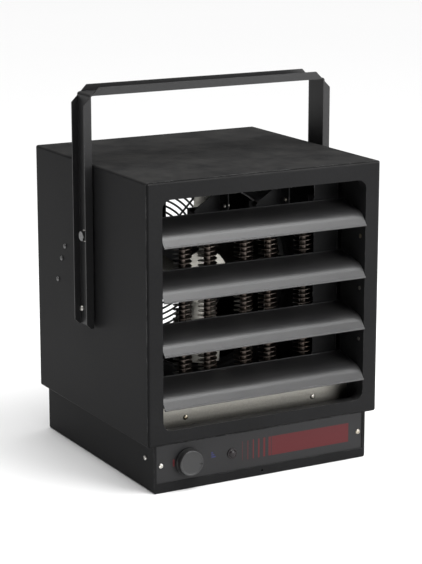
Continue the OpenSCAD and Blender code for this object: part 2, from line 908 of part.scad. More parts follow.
// Strap across the casing behind the motor, an ear turned forward at each end
module motor_bracket() {
    color([0.35, 0.35, 0.36]) difference() {
        union() {
            along_y(motor_back_y, motor_back_y + bracket_t)
                translate([-in_x, mid_z - bracket_half_h]) square([2 * in_x, 2 * bracket_half_h]);
            both_sides() along_x(in_x - bracket_t, in_x) translate([motor_back_y, mid_z]) polygon([
                [bracket_t, -bracket_half_h], [bracket_t, bracket_half_h],
                [-ear_depth + ear_top_depth, ear_rise], [-ear_depth, ear_rise],
                [-ear_depth, bracket_half_h], [-ear_depth * ear_low_share, -bracket_half_h]]);
        }
        both_sides() at_case_screws() rod_x(screw_r + still_gap, in_x - bracket_t - over, in_x + over);
        for (x = [-stud_x, stud_x]) translate([x, 0, mid_z])
            rod_y(motor_stud_r + still_gap, motor_back_y - over, motor_back_y + bracket_t + over);
    }
}

module motor_nuts() {
    color([0.75, 0.75, 0.74]) for (x = [-stud_x, stud_x])
        translate([x, motor_back_y + bracket_t, mid_z]) rotate([-90, 0, 0]) difference() {
            cylinder(r = nut_r, h = nut_t, $fn = 6);
            rod_z(motor_stud_r + still_gap, -over, nut_t + over);
        }
}

// Back plate with a flared inlet, its rim turned forward into the casing
module rear_panel() {
    w = 2 * (in_x - slip);
    h = roof_z - floor_z - 2 * slip;
    color([0.17, 0.17, 0.18]) difference() {
        union() {
            translate([0, 0, floor_z + slip]) along_y(rear_y - rear_flange, rear_y) difference() {
                soft_rect(w, h, bend_r - sheet_t);
                translate([0, sheet_t]) soft_rect(w - 2 * sheet_t, h - 2 * sheet_t, bend_r - sheet_t);
            }
            difference() {
                translate([0, 0, floor_z + slip]) along_y(rear_y - sheet_t, rear_y)
                    soft_rect(w, h, bend_r - sheet_t);
                translate([0, 0, mid_z])
                    rod_y(rear_r + flare_r, rear_y - sheet_t - over, rear_y + over);
            }
            translate([0, 0, mid_z]) throat(rear_r, rear_y, -1);
        }
        at_guard_screws() rod_y(screw_r + still_gap, rear_y - sheet_t - over, rear_y + over);
    }
}

module at_guard_screws() {
    for (a = [45:90:315]) translate([0, 0, mid_z]) rotate([0, a, 0])
        translate([guard_r - lug_in + lug_len / 2, 0, 0]) children();
}

// Welded wire guard: rings on radial wires, with a screw lug on four of them
module rear_guard() {
    spoke_y = rear_y + wire_flat;
    ring_y = spoke_y + 2 * wire_flat - wire_bite;
    ring_step = (guard_r - guard_first) / (ring_count - 1);
    color([0.2, 0.2, 0.21]) {
        translate([0, ring_y, mid_z]) for (i = [0:ring_count - 1])
            revolve_y() translate([guard_first + i * ring_step, 0]) rotate(22.5) circle(wire_r, $fn = 8);
        for (i = [0:spoke_count - 1])
            translate([0, spoke_y, mid_z]) rotate([0, i * 360 / spoke_count, 0])
                translate([guard_first - wire_r, 0, 0]) rotate([0, 90, 0]) rotate(22.5)
                cylinder(r = wire_r, h = guard_r - guard_first + 2 * wire_r, $fn = 8);
        at_guard_screws() difference() {
            translate([-lug_len / 2 - lug_in, rear_y, -lug_w / 2]) cube([lug_len + lug_in, sheet_t, lug_w]);
            rod_y(screw_r + still_gap, rear_y - over, rear_y + sheet_t + over);
        }
    }
}

module guard_screws() {
    color([0.3, 0.3, 0.3]) at_guard_screws() {
        rod_y(screw_head_r, rear_y + sheet_t, rear_y + sheet_t + screw_head_t);
        rod_y(screw_r, rear_y - screw_tail, rear_y + sheet_t + screw_head_t / 2);
    }
}

// Tray of the control base: floor, sides, top flanges, front lip and corners
module base_tray() {
    side_x = base_w / 2 - sheet_t;
    tab_y = panel_back_y;
    color([0.15, 0.15, 0.16]) difference() {
        union() {
            along_y(base_y, rear_y - sheet_t) difference() {
                mirror([0, 1]) translate([0, -base_h]) arch_rect(base_w, base_h, bend_r);
                mirror([0, 1]) translate([0, -base_h - over]) arch_rect(base_w - 2 * sheet_t,
                    base_h - sheet_t + over, bend_r - sheet_t);
            }
            along_y(base_y, base_y + sheet_t) intersection() {
                mirror([0, 1]) translate([0, -base_h]) arch_rect(base_w, base_h, bend_r);
                union() {
                    translate([-base_w / 2, 0]) square([base_w, lip_h]);
                    for (x = [-base_w / 2, base_w / 2 - corner_w])
                        translate([x, 0]) square([corner_w, base_h]);
                }
            }
            both_sides() along_z(base_h - sheet_t, base_h)
                translate([side_x - base_flange, panel_back_y + 2 * sheet_t])
                square([base_flange + sheet_t / 2, rear_y - sheet_t - panel_back_y - 2 * sheet_t]);
            both_sides() along_y(tab_y, tab_y + sheet_t)
                translate([side_x - panel_tab_w, control_z - panel_tab_half_h])
                square([panel_tab_w + sheet_t / 2, 2 * panel_tab_half_h]);
            both_sides() along_y(rear_y - 2 * sheet_t, rear_y - sheet_t)
                translate([side_x - base_flange, sheet_t / 2])
                square([base_flange + sheet_t / 2, base_h - sheet_t / 2]);
        }
        translate([0, 0, lip_h / 2]) rod_y(lip_hole_r, base_y - over, base_y + sheet_t + over);
        at_panel_screws() rod_y(screw_r + still_gap, tab_y - over, tab_y + sheet_t + over);
        at_cover_screws()
            rod_y(screw_r + still_gap, rear_y - 2 * sheet_t - over, rear_y - sheet_t + over);
        both_sides() at_base_screw()
            rod_x(screw_r + still_gap, side_x - over, side_x + sheet_t + over);
    }
}

module at_panel_screws() {
    both_sides() translate([base_w / 2 - panel_screw_in, 0, control_z]) children();
}

module at_base_screw() {
    translate([0, front_y + base_screw_y, base_h - base_screw_drop]) children();
}

// Plate tucked in behind the lip and corners, pierced for the controls
module control_panel() {
    half = base_w / 2 - sheet_t - slip;
    color([0.24, 0.24, 0.25]) difference() {
        along_y(panel_y, panel_back_y)
            translate([-half, lip_h - lip_lap]) square([2 * half, base_h - slip - lip_h + lip_lap]);
        translate([knob_x, 0, control_z]) rod_y(neck_r + still_gap, panel_y - over, panel_back_y + over);
        translate([lamp_x, 0, control_z])
            rod_y(lamp_body_r + still_gap, panel_y - over, panel_back_y + over);
        at_panel_screws() rod_y(screw_r + still_gap, panel_y - over, panel_back_y + over);
    }
}

module panel_screws() {
    color([0.55, 0.55, 0.55]) {
        at_panel_screws() front_screw(panel_y, panel_t + sheet_t + screw_tail);
        both_sides() at_base_screw()
            side_screw(base_w / 2, sheet_t + screw_tail, screw_r, screw_head_r, screw_head_t);
    }
}

// Plate that closes the base behind, with the cable entry and room air slots
module base_rear_cover() {
    color([0.15, 0.15, 0.16]) difference() {
        along_y(rear_y - sheet_t, rear_y) mirror([0, 1]) translate([0, -base_h])
            arch_rect(base_w, base_h, bend_r);
        translate([entry_x, 0, base_h / 2])
            rod_y(entry_r, rear_y - sheet_t - over, rear_y + over);
        along_y(rear_y - sheet_t - over, rear_y + over) for (i = [0:vent_count - 1])
            translate([bulb_x + i * vent_pitch, (base_h - vent_h) / 2])
            square([vent_w, vent_h]);
        at_cover_screws() rod_y(screw_r + still_gap, rear_y - sheet_t - over, rear_y + over);
    }
}

module at_cover_screws() {
    for (z = [cover_screw_edge, base_h - cover_screw_edge]) both_sides()
        translate([base_w / 2 - cover_screw_in, 0, z]) children();
}

module cover_screws() {
    color([0.3, 0.3, 0.3]) at_cover_screws() {
        rod_y(screw_head_r, rear_y, rear_y + screw_head_t);
        rod_y(screw_r, rear_y - 2 * sheet_t - screw_tail, rear_y + screw_head_t / 2);
    }
}

// Thermostat: square body behind the panel, neck through it, nut in front
module thermostat_body() {
    color([0.5, 0.48, 0.42]) translate([knob_x, 0, control_z]) difference() {
        union() {
            translate([-thermo_half_w, panel_back_y, -thermo_half_h])
                cube([2 * thermo_half_w, thermo_depth, 2 * thermo_half_h]);
            rod_y(neck_r, panel_y - neck_len, panel_back_y + over);
            translate([0, panel_y, 0]) rotate([90, 0, 0])
                cylinder(r = neck_nut_r, h = neck_nut_t, $fn = 6);
        }
        rod_y(stem_r + run_gap, panel_y - neck_len - over, panel_back_y + stem_in + over);
    }
}

// Round stem with a flat on the stretch that the knob grips
module thermostat_shaft() {
    color([0.75, 0.75, 0.76]) translate([knob_x, 0, control_z]) difference() {
        rod_y(stem_r, knob_face_y + knob_socket_end, panel_back_y + stem_in);
        translate([-stem_r, knob_face_y, stem_flat])
            cube([2 * stem_r, knob_h - knob_hollow_d, stem_r]);
    }
}

// Knob with a skirt, a slightly tapered grip, a hollow back and a sunk pointer
module thermostat_knob() {
    grip_r = knob_r - knob_taper;
    back = knob_h;
    color([0.14, 0.14, 0.14]) translate([knob_x, knob_face_y, control_z]) difference() {
        revolve_y() {
            polygon([[0, 0], [grip_r - knob_round, 0], [grip_r - knob_round, knob_round],
                [grip_r, knob_round], [knob_r, back - knob_skirt_h], [knob_r, back], [0, back]]);
            translate([grip_r - knob_round, knob_round]) circle(knob_round);
        }
        rod_y(knob_hollow_r, back - knob_hollow_d, back + over);
        difference() {
            rod_y(stem_r + hub_gap, knob_socket_end - hub_gap, back);
            translate([-knob_r, 0, stem_flat + hub_gap]) cube([2 * knob_r, back - knob_hollow_d, knob_r]);
        }
        rotate([0, tick_angle, 0]) translate([grip_r - knob_round - tick_len, -over, -tick_w / 2])
            cube([tick_len, over + tick_depth, tick_w]);
    }
}

// Capillary that runs back from the thermostat and turns into its bulb, which
// lies in two clips behind the rear slots
module sensing_bulb() {
    color([0.7, 0.5, 0.35]) {
        translate([0, 0, control_z]) {
            translate([capillary_x, 0, 0])
                rod_y(capillary_r, panel_back_y + thermo_depth, bulb_y - capillary_bend);
            translate([bulb_x, bulb_y - capillary_bend, 0]) rotate([0, 0, 90])
                rotate_extrude(angle = 90) translate([capillary_bend, 0]) circle(capillary_r);
            translate([0, bulb_y, 0]) rod_x(bulb_r, bulb_x, bulb_x + bulb_len);
        }
        for (x = [bulb_x + clip_in, bulb_x + bulb_len - clip_in])
            translate([x - clip_t / 2, bulb_y - clip_half, sheet_t])
            cube([clip_t, 2 * clip_half, control_z - sheet_t]);
    }
}

// Pilot lamp: ring and low domed lens in front, body behind
module pilot_lamp() {
    dome_r = (lamp_lens_r * lamp_lens_r + lamp_lens_rise * lamp_lens_rise) / (2 * lamp_lens_rise);
    color([0.2, 0.2, 0.2]) translate([lamp_x, 0, control_z]) {
        rod_y(lamp_r, panel_y - lamp_ring_t, panel_y);
        rod_y(lamp_body_r, panel_y - lamp_ring_t / 2, panel_back_y + lamp_body_len);
        intersection() {
            translate([0, panel_y - lamp_ring_t + dome_r - lamp_lens_rise, 0]) sphere(dome_r);
            rod_y(lamp_lens_r, panel_y - lamp_ring_t - lamp_lens_rise - over, panel_y - lamp_ring_t / 2);
        }
    }
}

// Disc cut-out on the right liner with its two blade terminals
module limit_switch() {
    color([0.6, 0.58, 0.5]) translate([0, limit_y, limit_z]) {
        rod_x(limit_r, liner_x - limit_t, liner_x);
        for (y = [-limit_r, limit_r] / 2)
            translate([liner_x - 2 * limit_t, y - sheet_t, -sheet_t / 2])
            cube([limit_t + over, 2 * sheet_t, sheet_t * 4]);
    }
}

// Contactor: a stepped block with a row of terminals on each shoulder
module contactor() {
    step = contactor_d / 5;
    color([0.25, 0.25, 0.25]) translate([contactor_x - contactor_w / 2, -contactor_d / 2, sheet_t]) {
        cube([contactor_w, contactor_d, contactor_h / 2]);
        translate([0, step, 0]) cube([contactor_w, contactor_d - 2 * step, contactor_h]);
        for (i = [1:3], y = [step / 2, contactor_d - step / 2])
            translate([i * contactor_w / 4, y, 0]) rod_z(step / 3, 0, contactor_h / 2 + sheet_t);
    }
}

// Terminal block: a base with an upright wall between each two ways
module terminal_block() {
    wall = block_w / (8 * block_ways);
    way = block_w / block_ways;
    color([0.12, 0.12, 0.12]) translate([block_x - block_w / 2, block_y - block_d / 2, sheet_t]) {
        cube([block_w, block_d, block_h / 2]);
        for (i = [0:block_ways]) translate([i * (block_w - wall) / block_ways, 0, 0])
            cube([wall, block_d, block_h]);
        for (i = [0:block_ways - 1], y = [block_d / 4, 3 * block_d / 4])
            translate([(i + 0.5) * way, y, 0]) rod_z(block_d / 9, 0, block_h / 2 + sheet_t);
    }
}

// Ground lug: a small open collar with its clamp screw
module ground_lug() {
    color([0.75, 0.6, 0.35])
        translate([lug_x - lug_body_w / 2, block_y - lug_body_d / 2, sheet_t]) difference() {
            union() {
                cube([lug_body_w, lug_body_d, lug_body_h]);
                translate([lug_body_w / 2, lug_body_d / 2, 0])
                    rod_z(lug_body_w / 4, 0, lug_body_h + 2 * sheet_t);
            }
            translate([lug_body_w / 2, 0, lug_body_h / 2])
                rod_y(lug_body_h / 4, -over, lug_body_d + over);
        }
}

// Yoke folded from one plate: a U web with flanges turned outwards, each cut
// back at the two top corners
module yoke_bracket() {
    leg_z = pivot_z - leg_drop;
    top_z = yoke_under_z + yoke_t;
    tip_z = yoke_under_z + yoke_flange;
    tip_x = yoke_in + yoke_flange;
    color([0.13, 0.13, 0.14]) difference() {
        union() {
            along_y(-yoke_w / 2, yoke_w / 2) translate([0, leg_z]) difference() {
                arch_rect(2 * yoke_out, top_z - leg_z, yoke_bend);
                translate([0, -over]) arch_rect(2 * yoke_in, top_z - leg_z - yoke_t + over,
                    yoke_bend - yoke_t);
            }
            for (y = [-yoke_w / 2, yoke_w / 2 - yoke_t]) along_y(y, y + yoke_t) {
                polygon([[-yoke_out + yoke_relief, yoke_under_z], [yoke_out - yoke_relief, yoke_under_z],
                    [yoke_out - yoke_relief, top_z], [yoke_out - yoke_relief - yoke_flange + yoke_t, tip_z],
                    [-yoke_out + yoke_relief + yoke_flange - yoke_t, tip_z],
                    [-yoke_out + yoke_relief, top_z]]);
                for (s = [-1, 1]) polygon([[s * yoke_in, leg_z], [s * (tip_x - yoke_toe), leg_z],
                    [s * tip_x, leg_z + yoke_toe], [s * tip_x, top_z - yoke_relief - yoke_flange + yoke_t],
                    [s * yoke_out, top_z - yoke_relief], [s * yoke_in, top_z - yoke_relief]]);
            }
        }
        both_sides() {
            translate([0, 0, pivot_z]) rod_x(bolt_r + run_gap, yoke_in - over, yoke_out + over);
            translate([0, lock_back, pivot_z - lock_drop])
                rod_x(lock_r + still_gap, yoke_in - over, yoke_out + over);
        }
        for (x = [-yoke_holes / 2, yoke_holes / 2]) translate([x, 0, 0])
            rod_z(yoke_hole_r, yoke_under_z - over, top_z + over);
        rod_z(rod_hole_r, yoke_under_z - over, top_z + over);
    }
}

module pivot_bolts() {
    head_x = yoke_out + washer_t;
    color([0.75, 0.75, 0.74]) both_sides() translate([0, 0, pivot_z]) {
        translate([head_x, 0, 0]) rotate([0, 90, 0]) cylinder(r = bolt_head_r, h = bolt_head_t, $fn = 6);
        rod_x(bolt_r, in_x - pivot_nut_t - bolt_tail, head_x + bolt_head_t / 2);
    }
}

// A flat ring along X round a hole for the pivot bolt
module ring_x(r, x0, x1) {
    difference() {
        rod_x(r, x0, x1);
        rod_x(bolt_r + still_gap, x0 - over, x1 + over);
    }
}

module pivot_washers() {
    color([0.75, 0.75, 0.74]) both_sides() translate([0, 0, pivot_z])
        ring_x(washer_r, yoke_out + side_play, yoke_out + washer_t);
}

module pivot_spacers() {
    color([0.12, 0.12, 0.12]) both_sides() translate([0, 0, pivot_z])
        ring_x(spacer_r, case_w / 2, case_w / 2 + spacer_t);
}

module pivot_nuts() {
    color([0.75, 0.75, 0.74]) both_sides() translate([in_x - pivot_nut_t, 0, pivot_z])
        rotate([0, 90, 0]) difference() {
            cylinder(r = bolt_head_r, h = pivot_nut_t, $fn = 6);
            rod_z(bolt_r + still_gap, -over, pivot_nut_t + over);
        }
}

module lock_screws() {
    color([0.6, 0.6, 0.6]) both_sides() translate([0, lock_back, pivot_z - lock_drop]) {
        rod_x(lock_head_r, yoke_out, yoke_out + lock_head_t);
        rod_x(lock_r, case_w / 2 + slip, yoke_out + lock_head_t / 2);
    }
}

module case_screws() {
    color([0.45, 0.45, 0.45]) both_sides() at_case_screws()
        side_screw(case_w / 2, sheet_t + bracket_t + screw_tail, screw_r, screw_head_r, screw_head_t);
}

casing_wrapper();
front_bezel();
louvre_rail_left();
louvre_rail_right();
rail_rivets();
louvre(1);  // louvre_1
louvre(2);  // louvre_2
louvre(3);  // louvre_3
louvre(4);  // louvre_4
louvre_pins(1);  // louvre_pins_1
louvre_pins(2);  // louvre_pins_2
louvre_pins(3);  // louvre_pins_3
louvre_pins(4);  // louvre_pins_4
left_liner();
right_liner();
outlet_stay();
element_shelf();
shelf_cover_strip();
strip_screws();
heating_element(1);  // heating_element_1
heating_element(2);  // heating_element_2
heating_element(3);  // heating_element_3
element_bushes();
element_hanger();
hanger_screws();
fan_bulkhead();
fan_hub();
fan_blades();
motor_shaft();
fan_motor();
motor_bracket();
motor_nuts();
rear_panel();
rear_guard();
guard_screws();
base_tray();
control_panel();
panel_screws();
base_rear_cover();
cover_screws();
thermostat_body();
thermostat_shaft();
thermostat_knob();
sensing_bulb();
pilot_lamp();
limit_switch();
contactor();
terminal_block();
ground_lug();
yoke_bracket();
pivot_bolts();
pivot_washers();
pivot_spacers();
pivot_nuts();
lock_screws();
case_screws();
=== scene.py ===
import json
from contextlib import contextmanager
from math import pi, radians

import bmesh
import bpy
from bpy.props import FloatProperty, FloatVectorProperty, IntProperty, PointerProperty
from mathutils import Matrix, Vector


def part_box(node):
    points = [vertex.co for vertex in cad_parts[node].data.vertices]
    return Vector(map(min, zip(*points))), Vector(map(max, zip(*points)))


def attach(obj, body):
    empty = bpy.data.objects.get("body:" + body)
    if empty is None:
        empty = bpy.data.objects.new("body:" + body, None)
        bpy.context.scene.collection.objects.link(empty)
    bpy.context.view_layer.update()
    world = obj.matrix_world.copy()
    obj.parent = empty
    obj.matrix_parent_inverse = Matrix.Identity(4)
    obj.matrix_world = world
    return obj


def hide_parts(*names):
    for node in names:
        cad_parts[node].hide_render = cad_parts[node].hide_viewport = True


bl_info = {
    "name": "Electric Unit Heater",
    "version": (1, 0, 0),
    "blender": (4, 5, 0),
    "location": "View3D > Sidebar > Unit Heater",
    "description": "Sheet metal edges, finned elements, fasteners and finishes of a unit heater",
    "category": "Object",
}

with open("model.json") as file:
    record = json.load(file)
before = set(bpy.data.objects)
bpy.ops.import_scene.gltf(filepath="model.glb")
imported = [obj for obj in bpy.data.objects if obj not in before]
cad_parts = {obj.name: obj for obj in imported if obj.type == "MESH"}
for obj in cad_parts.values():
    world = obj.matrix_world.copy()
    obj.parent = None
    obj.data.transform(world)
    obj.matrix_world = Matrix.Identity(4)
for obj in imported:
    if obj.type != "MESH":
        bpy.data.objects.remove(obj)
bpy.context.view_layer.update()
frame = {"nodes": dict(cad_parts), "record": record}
NODES = frame["nodes"]
RECORD = frame["record"]
BODY_OF = {n: body for body, names in RECORD["behaviour"]["bodies"].items() for n in names}
SLOT_OF = {s["node"]: s["material_slot"] for s in RECORD["subparts"]}
MM = 0.001
FORWARD, BACKWARD, LEFT = (0, -1, 0), (0, 1, 0), (-1, 0, 0)


# ---- Selecting and shaping ----

def take(*pieces):
    """Selects these objects alone and makes the last one active."""
    bpy.ops.object.select_all(action="DESELECT")
    for piece in pieces:
        piece.select_set(True)
    bpy.context.view_layer.objects.active = pieces[-1]


@contextmanager
def editing(piece, select="SELECT"):
    """Edit mode on one object, with everything in it selected or deselected."""
    take(piece)
    bpy.ops.object.mode_set(mode="EDIT")
    bpy.ops.mesh.select_mode(type="FACE")
    bpy.ops.mesh.select_all(action=select)
    yield
    bpy.ops.object.mode_set(mode="OBJECT")


def close_up(piece):
    """Merges doubled points and turns every face outwards."""
    with editing(piece):
        bpy.ops.mesh.remove_doubles(threshold=1e-6)
        bpy.ops.mesh.normals_make_consistent(inside=False)


def smooth(piece, angle=32):
    """Shades the piece smooth except across edges sharper than the angle."""
    take(piece)
    bpy.ops.object.shade_smooth_by_angle(angle=radians(angle))
    modify(piece, "WEIGHTED_NORMAL", mode="FACE_AREA", weight=50, keep_sharp=True)


def modify(piece, kind, **settings):
    """Adds a modifier with these settings and applies it."""
    take(piece)
    modifier = piece.modifiers.new(kind.title(), kind)
    for key, value in settings.items():
        setattr(modifier, key, value)
    bpy.ops.object.modifier_apply(modifier=modifier.name)


def round_edges(piece, width, segments=2, angle=35, mark=True):
    """Bevels the sharp edges and notes the new faces in the attribute edge."""
    mesh = piece.data
    while len(mesh.materials) < 2:
        mesh.materials.append(None)
    modify(piece, "BEVEL", width=width, segments=segments, limit_method="ANGLE",
           angle_limit=radians(angle), use_clamp_overlap=True, material=1)
    mesh = piece.data
    if mark:
        edge = mesh.attributes.new("edge", "FLOAT", "CORNER")
        for face in mesh.polygons:
            value = float(face.material_index == 1)
            for corner in face.loop_indices:
                edge.data[corner].value = value
    for face in mesh.polygons:
        face.material_index = 0
    mesh.materials.clear()


def fix_place(piece):
    """Puts the object's place, turn and size into its mesh."""
    take(piece)
    bpy.ops.object.transform_apply(location=True, rotation=True, scale=True)


def join(name, pieces):
    """Joins the pieces into one object of this name."""
    take(*pieces)
    if len(pieces) > 1:
        bpy.ops.object.join()
    piece = bpy.context.view_layer.objects.active
    piece.name = name
    return piece


def twin(piece, name, matrix=None):
    """A copy with its own mesh, moved by the matrix."""
    mesh = piece.data.copy()
    if matrix is not None:
        mesh.transform(matrix)
    copy = bpy.data.objects.new(name, mesh)
    bpy.context.scene.collection.objects.link(copy)
    return copy


def drop(*pieces):
    """Deletes helper objects."""
    take(*pieces)
    bpy.ops.object.delete()


def outward(axis):
    """Rotation that turns +Z to the axis."""
    return Vector((0, 0, 1)).rotation_difference(Vector(axis)).to_matrix().to_4x4()


def copies(piece, name, spots):
    """Puts a copy at each (point, outward axis), joined into one object."""
    made = [twin(piece, name, Matrix.Translation(point) @ outward(axis)) for point, axis in spots]
    return join(name, made)


def stack(name, sides, rings, turn=0.0):
    """Raises a closed solid along +Z from a disc, ring by ring of (radius, height)."""
    radius, height = rings[0]
    bpy.ops.object.select_all(action="DESELECT")
    bpy.ops.mesh.primitive_circle_add(vertices=sides, radius=radius, fill_type="NGON",
                                      location=(0, 0, height), rotation=(0, 0, turn))
    piece = bpy.context.object
    piece.name = name
    fix_place(piece)
    with editing(piece):
        for next_radius, next_height in rings[1:]:
            bpy.ops.mesh.extrude_region_move(
                TRANSFORM_OT_translate={"value": (0, 0, next_height - height)})
            share = next_radius / radius
            bpy.ops.transform.resize(value=(share, share, 1), center_override=(0, 0, next_height))
            radius, height = next_radius, next_height
    close_up(piece)
    return piece


def hoop(name, radius, wire, centre, steps=96, sides=10):
    """A round wire bent into a ring about Y."""
    bpy.ops.object.select_all(action="DESELECT")
    bpy.ops.mesh.primitive_circle_add(vertices=sides, radius=wire, location=(radius, 0, 0))
    piece = bpy.context.object
    piece.name = name
    fix_place(piece)
    with editing(piece):
        bpy.ops.mesh.select_mode(type="VERT")
        bpy.ops.mesh.select_all(action="SELECT")
        bpy.ops.mesh.spin(steps=steps, angle=2 * pi, center=(0, 0, 0), axis=(0, 1, 0))
    piece.data.transform(Matrix.Translation(centre))
    close_up(piece)
    return piece


def block(name, low, high, bevel=0.0):
    """A cuboid between two corners, its edges rounded."""
    low, high = Vector(low), Vector(high)
    bpy.ops.object.select_all(action="DESELECT")
    bpy.ops.mesh.primitive_cube_add(size=1, location=(low + high) / 2)
    piece = bpy.context.object
    piece.name = name
    piece.scale = high - low
    fix_place(piece)
    if bevel:
        with editing(piece):
            bpy.ops.mesh.select_mode(type="EDGE")
            bpy.ops.mesh.select_all(action="SELECT")
            bpy.ops.mesh.bevel(offset=bevel, segments=2, affect="EDGES")
    return piece


# ---- Reading the frame ----

def solids_of(node):
    """(low, high) corners of each separate solid in a CAD node."""
    mesh = bmesh.new()
    mesh.from_mesh(NODES[node].data)
    bmesh.ops.remove_doubles(mesh, verts=mesh.verts, dist=1e-6)
    left = set(mesh.verts)
    found = []
    while left:
        group, todo = [], [left.pop()]
        while todo:
            vert = todo.pop()
            group.append(vert.co)
            for edge in vert.link_edges:
                other = edge.other_vert(vert)
                if other in left:
                    left.discard(other)
                    todo.append(other)
        low = Vector([min(p[i] for p in group) for i in range(3)])
        high = Vector([max(p[i] for p in group) for i in range(3)])
        found.append((low, high))
    mesh.free()
    return sorted(found, key=lambda b: (round(b[0].x, 4), round(b[0].y, 4), round(b[0].z, 4)))


def from_node(node, name):
    """A merged copy of a CAD node's mesh, its flat faces made whole again."""
    mesh = NODES[node].data.copy()
    mesh.materials.clear()
    piece = bpy.data.objects.new(name, mesh)
    bpy.context.scene.collection.objects.link(piece)
    with editing(piece):
        bpy.ops.mesh.remove_doubles(threshold=1e-6)
        bpy.ops.mesh.dissolve_limited(angle_limit=radians(0.6))
    return piece


def fit(piece, *nodes, body=None, slot=None):
    """Rides the piece, gives it the finish of its slot and hides the nodes."""
    node = nodes[0]
    slot = slot or SLOT_OF[node]
    piece.data.materials.clear()
    piece.data.materials.append(finish(slot))
    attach(piece, body or BODY_OF[node])
    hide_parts(*nodes)


def soften(node, name, width, slot=None):
    """Puts a copy of a CAD node with rounded edges in the node's place."""
    piece = from_node(node, name)
    round_edges(piece, width)
    smooth(piece)
    fit(piece, node, slot=slot)


# ---- Shader parts ----

def add(tree, kind, inputs=None, **settings):
    """Adds a node, sets its options, and sets or links its inputs."""
    node = tree.nodes.new(kind)
    for key, value in settings.items():
        setattr(node, key, value)
    for key, value in (inputs or {}).items():
        if isinstance(value, bpy.types.NodeSocket):
            tree.links.new(value, node.inputs[key])
        else:
            node.inputs[key].default_value = value
    return node


def group(name, inputs, outputs, build):
    """Makes a shader node group once; build(tree, group input node) returns its outputs."""
    if name in bpy.data.node_groups:
        return bpy.data.node_groups[name]
    tree = bpy.data.node_groups.new(name, "ShaderNodeTree")
    for label, kind, default in inputs:
        socket = tree.interface.new_socket(name=label, in_out="INPUT", socket_type=kind)
        if default is not None:
            socket.default_value = default
    for label, kind in outputs:
        tree.interface.new_socket(name=label, in_out="OUTPUT", socket_type=kind)
    entry = tree.nodes.new("NodeGroupInput")
    leave = tree.nodes.new("NodeGroupOutput")
    for label, socket in build(tree, entry.outputs).items():
        tree.links.new(socket, leave.inputs[label])
    return tree


def use(tree, shader_group, **inputs):
    """Places a group in a material; input names use _ for a space."""
    node = tree.nodes.new("ShaderNodeGroup")
    node.node_tree = shader_group
    for key, value in inputs.items():
        key = key.replace("_", " ")
        if isinstance(value, bpy.types.NodeSocket):
            tree.links.new(value, node.inputs[key])
        else:
            node.inputs[key].default_value = value
    return node


def maths(tree, operation, a, b=0.0, clamp=False):
    """Value of a maths node on two numbers or sockets."""
    return add(tree, "ShaderNodeMath", {0: a, 1: b}, operation=operation, use_clamp=clamp).outputs[0]


def ramp(tree, value, low, high, to_low=0.0, to_high=1.0):
    """Value mapped from low..high to to_low..to_high, clamped."""
    node = add(tree, "ShaderNodeMapRange", {"Value": value, "From Min": low, "From Max": high,
                                            "To Min": to_low, "To Max": to_high})
    return node.outputs["Result"]


def blend_colour(tree, factor, a, b):
    """Mixes two colours or colour sockets by the factor."""
    node = tree.nodes.new("ShaderNodeMix")
    node.data_type = "RGBA"
    for index, value in ((0, factor), (6, a), (7, b)):
        if isinstance(value, bpy.types.NodeSocket):
            tree.links.new(value, node.inputs[index])
        else:
            node.inputs[index].default_value = value
    return node.outputs[2]


FLOAT, COLOUR, VECTOR = "NodeSocketFloat", "NodeSocketColor", "NodeSocketVector"


def tone_group():
    """Cloudy variation of a coat's tone over tens of millimetres, with fine speckle."""
    def build(tree, given):
        broad = add(tree, "ShaderNodeTexNoise", {"Vector": given["Vector"], "Scale": given["Scale"],
                                                 "Detail": 3.0, "Roughness": 0.55})
        fine = add(tree, "ShaderNodeTexNoise", {"Vector": given["Vector"],
                                                "Scale": maths(tree, "MULTIPLY", given["Scale"], 60.0),
                                                "Detail": 2.0, "Roughness": 0.6})
        return {"Cloud": ramp(tree, broad.outputs["Fac"], 0.3, 0.7),
                "Speckle": ramp(tree, fine.outputs["Fac"], 0.35, 0.65)}
    return group("Coat Tone", [("Vector", VECTOR, None), ("Scale", FLOAT, 6.0)],
                 [("Cloud", FLOAT), ("Speckle", FLOAT)], build)


def peel_group():
    """Orange peel of a sprayed coat: low waves with a fine grit on top."""
    def build(tree, given):
        waves = add(tree, "ShaderNodeTexNoise", {"Vector": given["Vector"], "Scale": given["Scale"],
                                                 "Detail": 1.0, "Roughness": 0.4})
        grit = add(tree, "ShaderNodeTexNoise", {"Vector": given["Vector"],
                                                "Scale": maths(tree, "MULTIPLY", given["Scale"], 4.0),
                                                "Detail": 2.0, "Roughness": 0.6})
        small = maths(tree, "MULTIPLY", grit.outputs["Fac"], given["Grit"])
        return {"Height": maths(tree, "ADD", waves.outputs["Fac"], small)}
    return group("Orange Peel", [("Vector", VECTOR, None), ("Scale", FLOAT, 500.0),
                                 ("Grit", FLOAT, 0.4)], [("Height", FLOAT)], build)


def wear_and_highlight_group():
    """Broken line of rubbed paint along the rounded edges, which on the casing is set light enough to be a
    painted highlight as well.
    """
    def build(tree, given):
        edge = add(tree, "ShaderNodeAttribute", attribute_name="edge").outputs["Fac"]
        patch = add(tree, "ShaderNodeTexNoise", {"Vector": given["Vector"], "Scale": given["Scale"],
                                                 "Detail": 4.0, "Roughness": 0.65})
        start = maths(tree, "SUBTRACT", 0.75, maths(tree, "MULTIPLY", given["Amount"], 0.5))
        mask = add(tree, "ShaderNodeMapRange", {"Value": patch.outputs["Fac"], "From Min": start,
                                                "From Max": maths(tree, "ADD", start, 0.12)},
                   interpolation_type="SMOOTHSTEP").outputs["Result"]
        return {"Mask": maths(tree, "MULTIPLY", mask, edge), "Edge": edge}
    return group("Edge Wear And Highlight", [("Vector", VECTOR, None), ("Scale", FLOAT, 60.0),
                               ("Amount", FLOAT, 0.5)], [("Mask", FLOAT), ("Edge", FLOAT)], build)


